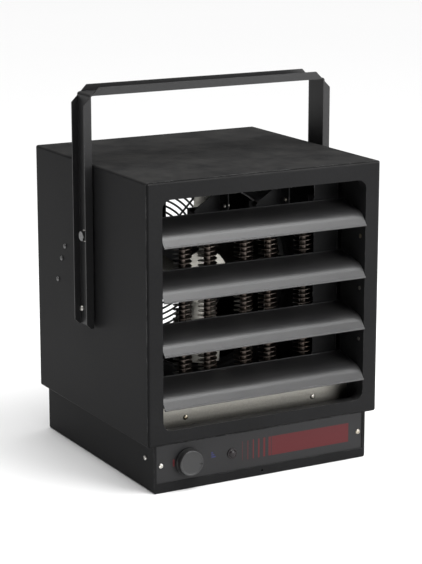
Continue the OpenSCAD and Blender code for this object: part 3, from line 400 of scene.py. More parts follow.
def dust_group():
    """Thin uneven dust on the faces that look up."""
    def build(tree, given):
        normal = add(tree, "ShaderNodeTexCoord").outputs["Normal"]
        up = add(tree, "ShaderNodeSeparateXYZ", {0: normal}).outputs["Z"]
        lie = ramp(tree, up, 0.25, 1.0)
        drift = add(tree, "ShaderNodeTexNoise", {"Vector": given["Vector"], "Scale": given["Scale"],
                                                 "Detail": 5.0, "Roughness": 0.7})
        cover = ramp(tree, drift.outputs["Fac"], 0.3, 0.75)
        thick = maths(tree, "MULTIPLY", maths(tree, "MULTIPLY", lie, cover), given["Amount"], True)
        return {"Mask": thick}
    return group("Settled Dust", [("Vector", VECTOR, None), ("Scale", FLOAT, 18.0),
                                  ("Amount", FLOAT, 0.2)], [("Mask", FLOAT)], build)


def grain_group():
    """Fine streaks of rolled or drawn metal along one axis."""
    def build(tree, given):
        drawn = add(tree, "ShaderNodeVectorMath", {0: given["Vector"], 1: given["Stretch"]},
                    operation="MULTIPLY").outputs[0]
        lines = add(tree, "ShaderNodeTexNoise", {"Vector": drawn, "Scale": 1.0, "Detail": 4.0,
                                                 "Roughness": 0.6})
        return {"Line": ramp(tree, lines.outputs["Fac"], 0.3, 0.7)}
    return group("Drawn Grain", [("Vector", VECTOR, None), ("Stretch", VECTOR, (40.0, 2000.0, 2000.0))],
                 [("Line", FLOAT)], build)


def spangle_group():
    """Frosty crystals of a hot dip zinc coat."""
    def build(tree, given):
        bent = add(tree, "ShaderNodeTexNoise", {"Vector": given["Vector"], "Scale": 180.0,
                                                "Detail": 2.0}).outputs["Color"]
        warp = add(tree, "ShaderNodeVectorMath", {0: bent, 1: (0.0025, 0.0025, 0.0025)},
                   operation="MULTIPLY").outputs[0]
        place = add(tree, "ShaderNodeVectorMath", {0: given["Vector"], 1: warp},
                    operation="ADD").outputs[0]
        cells = add(tree, "ShaderNodeTexVoronoi", {"Vector": place, "Scale": given["Scale"]})
        shade = add(tree, "ShaderNodeSeparateColor", {0: cells.outputs["Color"]}).outputs[0]
        rim = add(tree, "ShaderNodeTexVoronoi", {"Vector": place, "Scale": given["Scale"]},
                  feature="DISTANCE_TO_EDGE")
        return {"Crystal": shade, "Seam": ramp(tree, rim.outputs["Distance"], 0.0, 0.08)}
    return group("Zinc Spangle", [("Vector", VECTOR, None), ("Scale", FLOAT, 220.0)],
                 [("Crystal", FLOAT), ("Seam", FLOAT)], build)


def band_group():
    """Printed rectangle on a face that looks forward, between X and Z limits in metres."""
    def build(tree, given):
        place = add(tree, "ShaderNodeSeparateXYZ", {0: given["Vector"]})
        soft = 0.00018

        def inside(value, low, high):
            after = maths(tree, "DIVIDE", maths(tree, "SUBTRACT", value, low), soft, True)
            before = maths(tree, "DIVIDE", maths(tree, "SUBTRACT", high, value), soft, True)
            return maths(tree, "MULTIPLY", after, before)
        across = inside(place.outputs["X"], given["Left"], given["Right"])
        rise = inside(place.outputs["Z"], given["Low"], given["High"])
        normal = add(tree, "ShaderNodeTexCoord").outputs["Normal"]
        ahead = add(tree, "ShaderNodeSeparateXYZ", {0: normal}).outputs["Y"]
        front = maths(tree, "LESS_THAN", ahead, -0.9)
        return {"Mask": maths(tree, "MULTIPLY", maths(tree, "MULTIPLY", across, rise), front)}
    return group("Printed Band", [("Vector", VECTOR, None), ("Left", FLOAT, 0.0), ("Right", FLOAT, 0.1),
                                  ("Low", FLOAT, 0.0), ("High", FLOAT, 0.1)],
                 [("Mask", FLOAT)], build)


# ---- Finishes ----

def start_material(name):
    """A new material's tree, its Principled shader and its Object coordinates."""
    material = bpy.data.materials.new(name)
    material.use_nodes = True
    tree = material.node_tree
    shader = tree.nodes["Principled BSDF"]
    place = add(tree, "ShaderNodeTexCoord").outputs["Object"]
    return material, tree, shader, place


def colour(values):
    """Four channels from a property's three."""
    return (values[0], values[1], values[2], 1.0)


def coat(name, base, rough, cloud=0.12, peel=0.05, scale=520.0, grit=0.4, wear_and_highlight=0.35, dust=0.12,
         specular=0.5, rub_and_highlight=(0.16, 0.16, 0.165), print_on=None):
    """A sprayed or moulded coat: tone, orange peel, rubbed edges that can also carry a painted edge highlight,
    and settled dust.
    """
    material, tree, shader, place = start_material(name)
    tone = use(tree, tone_group(), Vector=place, Scale=7.0)
    lift = ramp(tree, tone.outputs["Cloud"], 0.0, 1.0, 1.0 - cloud, 1.0 + cloud)
    speck = ramp(tree, tone.outputs["Speckle"], 0.0, 1.0, 0.93, 1.07)
    tint = add(tree, "ShaderNodeVectorMath", {0: base[:3], "Scale": maths(tree, "MULTIPLY", lift, speck)},
               operation="SCALE").outputs[0]
    if print_on:
        tint = print_on(tree, place, tint)
    # Rubbed edges: real wear, and on the casing also a painted highlight along the rounded edges.
    worn_and_highlit = use(tree, wear_and_highlight_group(), Vector=place, Scale=55.0, Amount=wear_and_highlight)
    tint = blend_colour(tree, worn_and_highlit.outputs["Mask"], tint, colour(rub_and_highlight))
    lint = use(tree, dust_group(), Vector=place, Scale=22.0, Amount=dust)
    tint = blend_colour(tree, lint.outputs["Mask"], tint, (0.16, 0.155, 0.145, 1.0))
    tree.links.new(tint, shader.inputs["Base Color"])
    dull = ramp(tree, tone.outputs["Cloud"], 0.0, 1.0, rough - 0.035, rough + 0.035)
    dull = maths(tree, "ADD", dull, maths(tree, "MULTIPLY", lint.outputs["Mask"], 0.3), True)
    tree.links.new(dull, shader.inputs["Roughness"])
    skin = use(tree, peel_group(), Vector=place, Scale=scale, Grit=grit)
    bump = add(tree, "ShaderNodeBump", {"Height": skin.outputs["Height"], "Strength": peel,
                                        "Distance": 0.0004})
    tree.links.new(bump.outputs["Normal"], shader.inputs["Normal"])
    shader.inputs["Specular IOR Level"].default_value = specular
    return material


def metal(name, base, dark, rough, stretch=(60.0, 1500.0, 1500.0), peel=0.03, metallic=1.0,
          stain=None, stain_low=0.55, spangle=False, dust=0.06):
    """Bare or plated metal: drawn grain or zinc crystals, dull patches and dust."""
    material, tree, shader, place = start_material(name)
    tone = use(tree, tone_group(), Vector=place, Scale=14.0)
    if spangle:
        zinc = use(tree, spangle_group(), Vector=place, Scale=190.0)
        pattern = blend_colour(tree, zinc.outputs["Crystal"], dark, base)
        pattern = blend_colour(tree, maths(tree, "SUBTRACT", 1.0, zinc.outputs["Seam"]), pattern,
                               colour([c * 0.9 for c in dark[:3]]))
        height = zinc.outputs["Crystal"]
    else:
        lines = use(tree, grain_group(), Vector=place, Stretch=stretch)
        pattern = blend_colour(tree, lines.outputs["Line"], dark, base)
        height = lines.outputs["Line"]
    if stain:
        patch = ramp(tree, tone.outputs["Cloud"], stain_low, 1.0)
        pattern = blend_colour(tree, patch, pattern, colour(stain))
    lint = use(tree, dust_group(), Vector=place, Scale=30.0, Amount=dust)
    tint = blend_colour(tree, lint.outputs["Mask"], pattern, (0.2, 0.19, 0.17, 1.0))
    tree.links.new(tint, shader.inputs["Base Color"])
    dull = ramp(tree, tone.outputs["Speckle"], 0.0, 1.0, rough - 0.05, rough + 0.06)
    dull = maths(tree, "ADD", dull, maths(tree, "MULTIPLY", lint.outputs["Mask"], 0.4), True)
    tree.links.new(dull, shader.inputs["Roughness"])
    bump = add(tree, "ShaderNodeBump", {"Height": height, "Strength": peel, "Distance": 0.0002})
    tree.links.new(bump.outputs["Normal"], shader.inputs["Normal"])
    shader.inputs["Metallic"].default_value = metallic
    return material


def print_bands(tree, place, tint):
    """Red band with bars that thin out to its left, and a cool and a warm mark by the knob."""
    look = bpy.context.scene.heater_look
    red = colour(look.band_red)
    low, high = 25.5 * MM, 53.0 * MM
    bars = [(15.4, 141.0)] + [(10.4 - 8.3 * i, 10.4 - 8.3 * i + width)
                              for i, width in enumerate((4.2, 3.4, 2.6, 1.9, 1.3, 0.8))]
    for left, right in bars:
        mask = use(tree, band_group(), Vector=place, Left=left * MM, Right=right * MM, Low=low,
                   High=high).outputs["Mask"]
        tint = blend_colour(tree, mask, tint, red)
    for shade, left, right, bottom, top in ((look.cool_blue, -79.5, -72.5, 37.1, 38.7),
                                            (look.cool_blue, -79.5, -74.5, 40.1, 41.7),
                                            (look.cool_blue, -79.5, -76.5, 43.1, 44.7),
                                            (look.band_red, -138.5, -135.5, 34.0, 44.0)):
        mask = use(tree, band_group(), Vector=place, Left=left * MM, Right=right * MM,
                   Low=bottom * MM, High=top * MM).outputs["Mask"]
        tint = blend_colour(tree, mask, tint, colour(shade))
    return tint


def make_finish(slot):
    """Builds the material of one of the record's slots."""
    look = bpy.context.scene.heater_look
    dark = look.case_paint
    zinc = (0.62, 0.6, 0.56, 1.0)
    table = {
        # Casing: its rubbed edges are made wider and lighter than wear alone, a painted highlight along the
        # rounded edges where the light catches them.
        "case_paint": lambda: coat("Casing Paint", colour(dark), look.case_roughness, wear_and_highlight=0.6,
                                   rub_and_highlight=(0.2, 0.2, 0.2), specular=0.03),
        "panel_paint": lambda: coat("Panel Paint", colour(look.panel_paint), 0.46,
                                    specular=0.25, print_on=print_bands),
        "yoke_paint": lambda: coat("Yoke Paint", colour(look.yoke_paint), 0.42, wear_and_highlight=0.55,
                                   specular=0.25),
        "louvre_paint": lambda: coat("Louvre Paint", colour(look.louvre_paint), look.louvre_roughness,
                                     peel=0.22, scale=900.0, grit=0.8, dust=0.1, specular=0.6),
        "galvanised": lambda: metal("Galvanised Steel", colour(look.zinc), (0.34, 0.33, 0.3, 1.0), 0.4,
                                    spangle=True, peel=0.05),
        "zinc_hardware": lambda: metal("Zinc Plated Steel", zinc, (0.5, 0.49, 0.46, 1.0), 0.3,
                                       stretch=(900.0, 900.0, 900.0), stain=(0.42, 0.37, 0.28)),
        "dark_hardware": lambda: metal("Blackened Steel", (0.2, 0.2, 0.2, 1.0),
                                       (0.09, 0.09, 0.09, 1.0), 0.36, stretch=(900.0, 900.0, 900.0)),
        "element_steel": lambda: metal("Element Steel", colour(look.element_steel),
                                       (0.065, 0.054, 0.048, 1.0), 0.38, stretch=(900.0, 900.0, 400.0),
                                       stain=(0.13, 0.09, 0.065), stain_low=0.6),
        "bush_brass": lambda: metal("Brass Bush", (0.6, 0.43, 0.2, 1.0), (0.45, 0.31, 0.13, 1.0), 0.34,
                                    stretch=(1200.0, 1200.0, 200.0), stain=(0.25, 0.16, 0.08)),
        "fan_aluminium": lambda: metal("Fan Aluminium", (0.5, 0.49, 0.45, 1.0),
                                       (0.38, 0.37, 0.33, 1.0), 0.33, stretch=(90.0, 90.0, 1400.0)),
        "motor_paint": lambda: coat("Motor Paint", (0.1, 0.1, 0.105, 1.0), 0.4, wear_and_highlight=0.4),
        "shaft_steel": lambda: metal("Ground Shaft", (0.6, 0.59, 0.57, 1.0), (0.5, 0.49, 0.47, 1.0), 0.22,
                                     stretch=(1500.0, 60.0, 1500.0)),
        "knob_plastic": lambda: coat("Knob Plastic", colour(look.knob_plastic), 0.42, cloud=0.06,
                                     peel=0.12, scale=1400.0, wear_and_highlight=0.25, rub_and_highlight=(0.07, 0.07, 0.07)),
        "lamp_lens": lambda: coat("Lamp Lens", (0.016, 0.013, 0.014, 1.0), 0.3, cloud=0.1, peel=0.01,
                                  wear_and_highlight=0.1, dust=0.05, specular=0.25),
        "device_plastic": lambda: coat("Phenolic Plastic", (0.05, 0.046, 0.042, 1.0), 0.5, peel=0.1,
                                       scale=900.0, rub_and_highlight=(0.12, 0.11, 0.1)),
        "capillary_copper": lambda: metal("Copper Capillary", (0.62, 0.32, 0.2, 1.0),
                                          (0.45, 0.2, 0.12, 1.0), 0.3, stretch=(200.0, 900.0, 900.0)),
        "guard_wire": lambda: coat("Guard Coating", (0.018, 0.018, 0.019, 1.0), 0.36, peel=0.1,
                                   scale=700.0),
        "spacer_plastic": lambda: coat("Spacer Nylon", (0.02, 0.02, 0.02, 1.0), 0.5, peel=0.05),
    }
    return table[slot]()


FINISHES = {}


def finish(slot):
    """The material of a slot, built the first time it is asked for."""
    if slot not in FINISHES:
        FINISHES[slot] = make_finish(slot)
    return FINISHES[slot]


# ---- Properties ----

class HeaterLook(bpy.types.PropertyGroup):
    """Colours and finishes of the heater."""

    case_paint: FloatVectorProperty(
        name="Casing Paint", description="Colour of the casing and base", subtype="COLOR",
        default=(0.0135, 0.0135, 0.0139), min=0.0, max=1.0)
    case_roughness: FloatProperty(
        name="Casing Roughness", description="Roughness of the casing paint", default=0.43, min=0.1, max=0.9,
        subtype="FACTOR")
    panel_paint: FloatVectorProperty(
        name="Panel Paint", description="Colour of the control panel", subtype="COLOR",
        default=(0.0135, 0.0133, 0.0142), min=0.0, max=1.0)
    yoke_paint: FloatVectorProperty(
        name="Yoke Paint", description="Colour of the yoke", subtype="COLOR",
        default=(0.013, 0.013, 0.0135), min=0.0, max=1.0)
    louvre_paint: FloatVectorProperty(
        name="Louvre Paint", description="Colour of the louvres", subtype="COLOR",
        default=(0.022, 0.022, 0.023), min=0.0, max=1.0)
    louvre_roughness: FloatProperty(
        name="Louvre Roughness", description="Roughness of the louvre paint", default=0.38, min=0.1,
        max=0.9, subtype="FACTOR")
    zinc: FloatVectorProperty(
        name="Zinc", description="Bright crystals of the galvanised sheet", subtype="COLOR",
        default=(0.36, 0.345, 0.31), min=0.0, max=1.0)
    element_steel: FloatVectorProperty(
        name="Element Steel", description="Colour of the sheath and fins", subtype="COLOR",
        default=(0.15, 0.125, 0.108), min=0.0, max=1.0)
    knob_plastic: FloatVectorProperty(
        name="Knob Plastic", description="Colour of the thermostat knob", subtype="COLOR",
        default=(0.014, 0.014, 0.0145), min=0.0, max=1.0)
    band_red: FloatVectorProperty(
        name="Band Red", description="Colour of the printed band", subtype="COLOR",
        default=(0.075, 0.006, 0.008), min=0.0, max=1.0)
    cool_blue: FloatVectorProperty(
        name="Cool Blue", description="Colour of the mark for a lower setting", subtype="COLOR",
        default=(0.02, 0.025, 0.11), min=0.0, max=1.0)


class HeaterSizes(bpy.types.PropertyGroup):
    """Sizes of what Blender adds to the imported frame."""

    fold_round: FloatProperty(
        name="Sheet Edge Round", description="Rounding of cut sheet edges", default=0.3 * MM,
        min=0.05 * MM, max=0.6 * MM, unit="LENGTH", precision=5)
    fin_pitch: FloatProperty(
        name="Fin Pitch", description="Rise of the fin strip for each turn", default=6.4 * MM,
        min=3 * MM, max=12 * MM, unit="LENGTH", precision=5)
    fin_thickness: FloatProperty(
        name="Fin Thickness", description="Thickness of the fin strip", default=0.6 * MM,
        min=0.2 * MM, max=1.5 * MM, unit="LENGTH", precision=5)
    guard_steps: IntProperty(
        name="Guard Steps", description="Straight steps round each guard ring", default=96, min=24,
        max=256)


class HeaterStudio(bpy.types.PropertyGroup):
    """Camera and lights."""

    lens: FloatProperty(
        name="Lens", description="Focal length of the camera", default=125.27, min=20.0, max=300.0)
    overhead: FloatProperty(
        name="Overhead Light", description="Power of the softbox above the heater", default=26.0,
        min=0.0, max=1000.0, unit="POWER")
    front: FloatProperty(
        name="Front Light", description="Power of the softbox in front, to the right", default=40.0,
        min=0.0, max=1000.0, unit="POWER")
    sky: FloatProperty(
        name="Sky Light", description="Strength of the even light from above", default=3.3, min=0.0,
        max=20.0)
    floor: FloatVectorProperty(
        name="Floor", description="Colour of the floor", subtype="COLOR", default=(0.86, 0.86, 0.86),
        min=0.0, max=1.0)


# ---- Operators ----

class FoldSheets(bpy.types.Operator):
    """Rounds the cut and folded edges of every sheet metal piece"""

    bl_idname = "heater.fold_sheets"
    bl_label = "Fold Sheets"

    def execute(self, context):
        width = context.scene.heater_sizes.fold_round
        for node in ("casing_wrapper", "front_bezel", "louvre_rail_left", "louvre_rail_right",
                     "left_liner", "right_liner", "outlet_stay", "element_shelf", "shelf_cover_strip",
                     "element_hanger", "fan_bulkhead", "motor_bracket", "rear_panel", "base_tray",
                     "control_panel", "base_rear_cover", "yoke_bracket"):
            # These inner sheets take the dark casing finish in place of their galvanised slot, which makes the
            # inside of the casing dark.
            dark_inside = node in ("left_liner", "right_liner", "outlet_stay", "fan_bulkhead",
                               "element_hanger")
            soften(node, node + "_sheet", width, "case_paint" if dark_inside else None)
        return {"FINISHED"}


class FormLouvres(bpy.types.Operator):
    """Rounds the hems and tabs of the four louvres and their pins"""

    bl_idname = "heater.form_louvres"
    bl_label = "Form Louvres"

    def execute(self, context):
        for n in range(1, 5):
            blade = from_node(f"louvre_{n}", f"louvre_{n}_blade")
            round_edges(blade, 0.2 * MM, angle=50)
            smooth(blade, 40)
            fit(blade, f"louvre_{n}")
            soften(f"louvre_pins_{n}", f"louvre_{n}_pins", 0.3 * MM)
        return {"FINISHED"}


class WindElements(bpy.types.Operator):
    """Bends the hairpin sheaths and winds the fin strip up both legs of each"""

    bl_idname = "heater.wind_elements"
    bl_label = "Wind Elements"
    sheath = 5 * MM
    terminal = 2 * MM
    terminal_length = 12 * MM
    first_fin = 118 * MM
    turns = 35

    def execute(self, context):
        sizes = context.scene.heater_sizes
        pitch, thick = sizes.fin_pitch, sizes.fin_thickness
        for n in range(1, 4):
            node = f"heating_element_{n}"
            low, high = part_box(node)
            fin_r = (high[1] - low[1]) / 2
            left = low[0] + fin_r
            right = high[0] - fin_r
            y = (low[1] + high[1]) / 2
            half = (right - left) / 2
            arc_z = high[2] - half - self.sheath
            tip = low[2]
            hairpin = self.hairpin(left, right, y, tip, arc_z, self.sheath)
            strip = self.fin_strip(self.sheath, fin_r, pitch, thick)
            wound = [twin(strip, "fins", Matrix.Translation((x, y, self.first_fin))) for x in (left, right)]
            drop(strip)
            piece = join(node + "_hairpin", [hairpin] + wound)
            smooth(piece, 40)
            fit(piece, node)
        soften("element_bushes", "element_bush_set", 0.5 * MM)
        return {"FINISHED"}

    def hairpin(self, left, right, y, tip, arc_z, radius):
        """Tube up one leg, over the bend and down the other, a terminal pin at each end."""
        bpy.ops.object.select_all(action="DESELECT")
        bpy.ops.mesh.primitive_circle_add(vertices=20, radius=self.terminal, fill_type="NGON",
                                          location=(left, y, tip))
        piece = bpy.context.object
        fix_place(piece)
        middle = (left + right) / 2
        pin = self.terminal_length
        with editing(piece):
            bpy.ops.mesh.extrude_region_move(TRANSFORM_OT_translate={"value": (0, 0, pin)})
            self.widen(radius / self.terminal, left, y, tip + pin)
            bpy.ops.mesh.extrude_region_move(
                TRANSFORM_OT_translate={"value": (0, 0, arc_z - tip - pin)})
            bpy.ops.mesh.spin(steps=28, angle=pi, center=(middle, y, arc_z), axis=(0, 1, 0))
            bpy.ops.mesh.extrude_region_move(
                TRANSFORM_OT_translate={"value": (0, 0, tip + pin - arc_z)})
            self.widen(self.terminal / radius, right, y, tip + pin)
            bpy.ops.mesh.extrude_region_move(TRANSFORM_OT_translate={"value": (0, 0, -pin)})
            bpy.ops.mesh.select_all(action="DESELECT")
            bpy.ops.mesh.select_interior_faces()
            bpy.ops.mesh.delete(type="FACE")
        close_up(piece)
        return piece

    def widen(self, share, x, y, z):
        """Steps the end face out or in by an extrusion in its own plane."""
        bpy.ops.mesh.extrude_region_move(TRANSFORM_OT_translate={"value": (0, 0, 0)})
        bpy.ops.transform.resize(value=(share, share, 1), center_override=(x, y, z))

    def fin_strip(self, inner, outer, pitch, thick):
        """Strip wound on edge round the tube, one turn for each pitch."""
        bpy.ops.object.select_all(action="DESELECT")
        bpy.ops.mesh.primitive_plane_add(size=1, location=(0, 0, 0), rotation=(pi / 2, 0, 0))
        piece = bpy.context.object
        piece.scale = (outer - inner + 0.4 * MM, thick, 1)
        piece.location = ((inner + outer) / 2 - 0.2 * MM, 0, thick / 2)
        fix_place(piece)
        modify(piece, "SCREW", axis="Z", angle=2 * pi, screw_offset=pitch, iterations=self.turns - 1, steps=20,
               render_steps=20, use_normal_calculate=True)
        with editing(piece, "DESELECT"):
            bpy.ops.mesh.select_mode(type="EDGE")
            bpy.ops.mesh.select_non_manifold(extend=False, use_wire=False, use_multi_face=False,
                                             use_non_contiguous=False, use_verts=False)
            bpy.ops.mesh.fill_holes(sides=4)
        close_up(piece)
        return piece


class TurnKnob(bpy.types.Operator):
    """Turns the thermostat knob with its skirt, dished face and pointer"""

    bl_idname = "heater.turn_knob"
    bl_label = "Turn Knob"

    def execute(self, context):
        low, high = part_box("thermostat_knob")
        x, z = (low[0] + high[0]) / 2, (low[2] + high[2]) / 2
        tall = high[1] - low[1]
        grip = 18.0 * MM
        rings = [(18.6 * MM, 0), (19.0 * MM, 0.4 * MM), (19.0 * MM, 2.2 * MM), (18.5 * MM, 2.9 * MM),
                 (18.3 * MM, 3.2 * MM), (grip, tall - 1.6 * MM), (grip - 0.25 * MM, tall - 0.8 * MM),
                 (grip - 0.8 * MM, tall - 0.2 * MM), (grip - 1.6 * MM, tall),
                 (grip - 2.4 * MM, tall - 0.1 * MM), (grip - 3.0 * MM, tall - 0.45 * MM),
                 (grip - 4.5 * MM, tall - 0.6 * MM), (6 * MM, tall - 0.7 * MM)]
        knob = stack("thermostat_knob_turned", 96, rings)
        pointer = block("pointer_cut", (11.4 * MM, -0.7 * MM, tall - 1.3 * MM),
                        (16.4 * MM, 0.7 * MM, tall + 1 * MM), 0.2 * MM)
        pointer.data.transform(Matrix.Rotation(radians(-10), 4, "Z"))
        socket = stack("socket_cut", 48, [(14 * MM, -1 * MM), (14 * MM, 4.5 * MM)])
        modify(knob, "BOOLEAN", operation="DIFFERENCE", object=pointer, solver="EXACT")
        modify(knob, "BOOLEAN", operation="DIFFERENCE", object=socket, solver="EXACT")
        drop(pointer, socket)
        knob.data.transform(Matrix.Translation((x, high[1], z)) @ Matrix.Rotation(pi / 2, 4, "X"))
        smooth(knob, 30)
        fit(knob, "thermostat_knob")
        return {"FINISHED"}


class MountLamp(bpy.types.Operator):
    """Turns the pilot lamp's ring, dome and body"""

    bl_idname = "heater.mount_lamp"
    bl_label = "Mount Lamp"

    def execute(self, context):
        low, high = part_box("pilot_lamp")
        x, z = (low[0] + high[0]) / 2, (low[2] + high[2]) / 2
        long = high[1] - low[1]
        seat = long - 3.2 * MM
        rings = [(5.2 * MM, 0), (5.4 * MM, 0.3 * MM), (5.4 * MM, seat), (7.3 * MM, seat),
                 (7.5 * MM, seat + 0.2 * MM), (7.5 * MM, seat + 0.9 * MM), (7.2 * MM, seat + 1.4 * MM),
                 (6.6 * MM, seat + 1.6 * MM), (5.7 * MM, seat + 1.5 * MM), (5.5 * MM, seat + 1.1 * MM),
                 (5.3 * MM, seat + 1.5 * MM), (4.6 * MM, seat + 2.2 * MM), (3.4 * MM, seat + 2.8 * MM),
                 (1.8 * MM, seat + 3.1 * MM), (0.6 * MM, seat + 3.19 * MM)]
        lamp = stack("pilot_lamp_turned", 64, rings)
        lamp.data.transform(Matrix.Translation((x, high[1], z)) @ Matrix.Rotation(pi / 2, 4, "X"))
        smooth(lamp, 35)
        fit(lamp, "pilot_lamp")
        return {"FINISHED"}


def pan_screw(name, radius, tall, shank, length):
    """Pan head screw along +Z with its seat at zero and a cross recess."""
    rings = [(shank * 0.6, -length), (shank, -length + shank * 0.6), (shank, 0), (radius * 0.97, 0),
             (radius, tall * 0.15), (radius * 0.97, tall * 0.5), (radius * 0.84, tall * 0.8),
             (radius * 0.6, tall * 0.95), (radius * 0.25, tall)]
    screw = stack(name, 28, rings)
    arm, wide, deep = radius * 0.62, radius * 0.11, tall * 0.7
    one = block("recess_x", (-arm, -wide, tall - deep), (arm, wide, tall * 1.5))
    two = block("recess_y", (-wide, -arm, tall - deep), (wide, arm, tall * 1.5))
    for cutter in (one, two):
        modify(screw, "BOOLEAN", operation="DIFFERENCE", object=cutter, solver="EXACT")
    drop(one, two)
    return screw


def sideways(point):
    """Outwards to the left or right."""
    return (1, 0, 0) if point.x > 0 else LEFT


def inwards(point):
    """From the left or right towards the middle."""
    return LEFT if point.x > 0 else (1, 0, 0)


def off_panel(point):
    """Forward on the control panel's face, sideways on its returns."""
    return FORWARD if point.y < -150 * MM else sideways(point)


def heads(node, facing, tall):
    """Seat point and outward axis of each solid's head; facing is an axis or gives one."""
    spots = []
    for low, high in solids_of(node):
        middle = (low + high) / 2
        axis = Vector(facing(middle) if callable(facing) else facing)
        reach = Vector([high[i] if axis[i] > 0 else low[i] if axis[i] < 0 else middle[i] for i in range(3)])
        spots.append((reach - axis * tall, axis))
    return spots


class DriveScrews(bpy.types.Operator):
    """Drives the sheet metal screws, each with a cross recess, and sets the rivets"""

    bl_idname = "heater.drive_screws"
    bl_label = "Drive Screws"

    def execute(self, context):
        sheet_screw = ("sheet_screw", 3.6 * MM, 1.8 * MM, 1.9 * MM, 7 * MM)
        tab_screw = ("tab_screw", 3 * MM, 2 * MM, 1.9 * MM, 6.5 * MM)
        lock_screw = ("lock_screw", 4 * MM, 3 * MM, 2.5 * MM, 5.6 * MM)
        for screw, places in ((sheet_screw, (("strip_screws", FORWARD), ("panel_screws", off_panel),
                                             ("case_screws", sideways), ("cover_screws", BACKWARD),
                                             ("guard_screws", BACKWARD))),
                              (tab_screw, (("hanger_screws", LEFT),)),
                              (lock_screw, (("lock_screws", sideways),))):
            tall = screw[2]
            pattern = pan_screw(*screw)
            for node, facing in places:
                piece = copies(pattern, node + "_set", heads(node, facing, tall))
                smooth(piece)
                fit(piece, node)
            drop(pattern)
        rivet = stack("rivet", 24, [(3 * MM, -0.5 * MM), (3 * MM, -0.35 * MM), (2.7 * MM, -0.15 * MM),
                                    (1.9 * MM, -0.03 * MM), (0.8 * MM, 0)])
        shank = stack("rivet_shank", 16, [(1.6 * MM, -2.6 * MM), (1.6 * MM, -0.3 * MM)])
        tail = stack("rivet_tail", 24, [(3 * MM, -2.9 * MM), (3 * MM, -2.6 * MM)])
        rivet = join("rivet", [shank, tail, rivet])
        piece = copies(rivet, "rail_rivets_set", heads("rail_rivets", inwards, 0))
        drop(rivet)
        smooth(piece)
        fit(piece, "rail_rivets")
        return {"FINISHED"}


class BoltYoke(bpy.types.Operator):
    """Sets the chamfered hexagon bolts, washers, spacers and nuts of the pivots"""

    bl_idname = "heater.bolt_yoke"
    bl_label = "Bolt Yoke"

    def execute(self, context):
        tall, wide, shank = 5.3 * MM, 7.5 * MM, 4 * MM
        spots = heads("pivot_bolts", sideways, tall)
        low, high = solids_of("pivot_bolts")[0]
        length = high.x - low.x - tall
        bolt = stack("pivot_bolt", 6, [(wide, 0), (wide, tall)])
        crown = stack("crown", 60, [(wide * 1.2, -1 * MM), (wide * 1.2, tall * 0.66),
                                    (wide * 0.86, tall), (wide * 0.86, tall + 0.01 * MM)])
        modify(bolt, "BOOLEAN", operation="INTERSECT", object=crown, solver="EXACT")
        drop(crown)
        round_edges(bolt, 0.15 * MM, angle=45, mark=False)
        stem = stack("stem", 32, [(shank * 0.8, -length), (shank, -length + 0.8 * MM), (shank, 0.5 * MM)])
        bolt = join("pivot_bolt", [bolt, stem])
        piece = copies(bolt, "pivot_bolts_set", spots)
        drop(bolt)
        smooth(piece)
        fit(piece, "pivot_bolts", slot="dark_hardware")
        for node in ("pivot_washers", "pivot_spacers", "pivot_nuts", "motor_nuts"):
            soften(node, node + "_set", 0.3 * MM)
        return {"FINISHED"}


class PressFan(bpy.types.Operator):
    """Rounds the fan's blades, hub, motor and shafts"""

    bl_idname = "heater.press_fan"
    bl_label = "Press Fan"

    def execute(self, context):
        for node, width in (("fan_blades", 0.25 * MM), ("fan_hub", 0.5 * MM), ("fan_motor", 0.4 * MM),
                            ("motor_shaft", 0.3 * MM), ("thermostat_shaft", 0.2 * MM)):
            soften(node, node + "_smooth", width)
        return {"FINISHED"}


class WeldGuard(bpy.types.Operator):
    """Bends the rear guard's rings and lays its radial wires and lugs"""

    bl_idname = "heater.weld_guard"
    bl_label = "Weld Guard"
    wire = 1.6 * MM
    rings = 16
    first, last = 25 * MM, 150 * MM

    def execute(self, context):
        steps = context.scene.heater_sizes.guard_steps
        low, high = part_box("rear_guard")
        wire, first, last = self.wire, self.first, self.last
        x, z = (low[0] + high[0]) / 2, (low[2] + high[2]) / 2
        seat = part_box("rear_panel")[1][1]
        ring_y = high[1] - wire
        spoke_y = seat + wire * 0.93
        parts = [hoop("ring", first + (last - first) * i / (self.rings - 1), wire, (x, ring_y, z), steps)
                 for i in range(self.rings)]
        rod = stack("rod", 10, [(wire, 0), (wire, last - first + 2 * wire)])
        lug = self.lug(seat)
        for i in range(8):
            turn = Matrix.Rotation(radians(45 * i), 4, "Y")
            parts.append(twin(rod, "wire", Matrix.Translation((x, spoke_y, z)) @ turn
                              @ Matrix.Translation((first - wire, 0, 0)) @ outward((1, 0, 0))))
            if i % 2:
                parts.append(twin(lug, "lug", Matrix.Translation((x, 0, z)) @ turn))
        drop(rod, lug)
        piece = join("rear_guard_welded", parts)
        smooth(piece, 40)
        fit(piece, "rear_guard")
        return {"FINISHED"}

    def lug(self, seat):
        """Flattened lug that lies on the rear panel under its screw."""
        return block("lug", (146.2 * MM, seat, -6 * MM), (163.8 * MM, seat + 1.2 * MM, 6 * MM), 0.4 * MM)


class DressDevices(bpy.types.Operator):
    """Rounds the devices inside the base and casing"""

    bl_idname = "heater.dress_devices"
    bl_label = "Dress Devices"

    def execute(self, context):
        for node in ("thermostat_body", "sensing_bulb", "limit_switch", "contactor",
                     "terminal_block", "ground_lug"):
            soften(node, node + "_fitted", 0.3 * MM)
        return {"FINISHED"}


class PaintFrame(bpy.types.Operator):
    """Gives the slots' finishes to every CAD node, shown or replaced"""

    bl_idname = "heater.paint_frame"
    bl_label = "Paint Frame"

    def execute(self, context):
        for node, piece in NODES.items():
            piece.data.materials.clear()
            piece.data.materials.append(finish(SLOT_OF[node]))
        return {"FINISHED"}


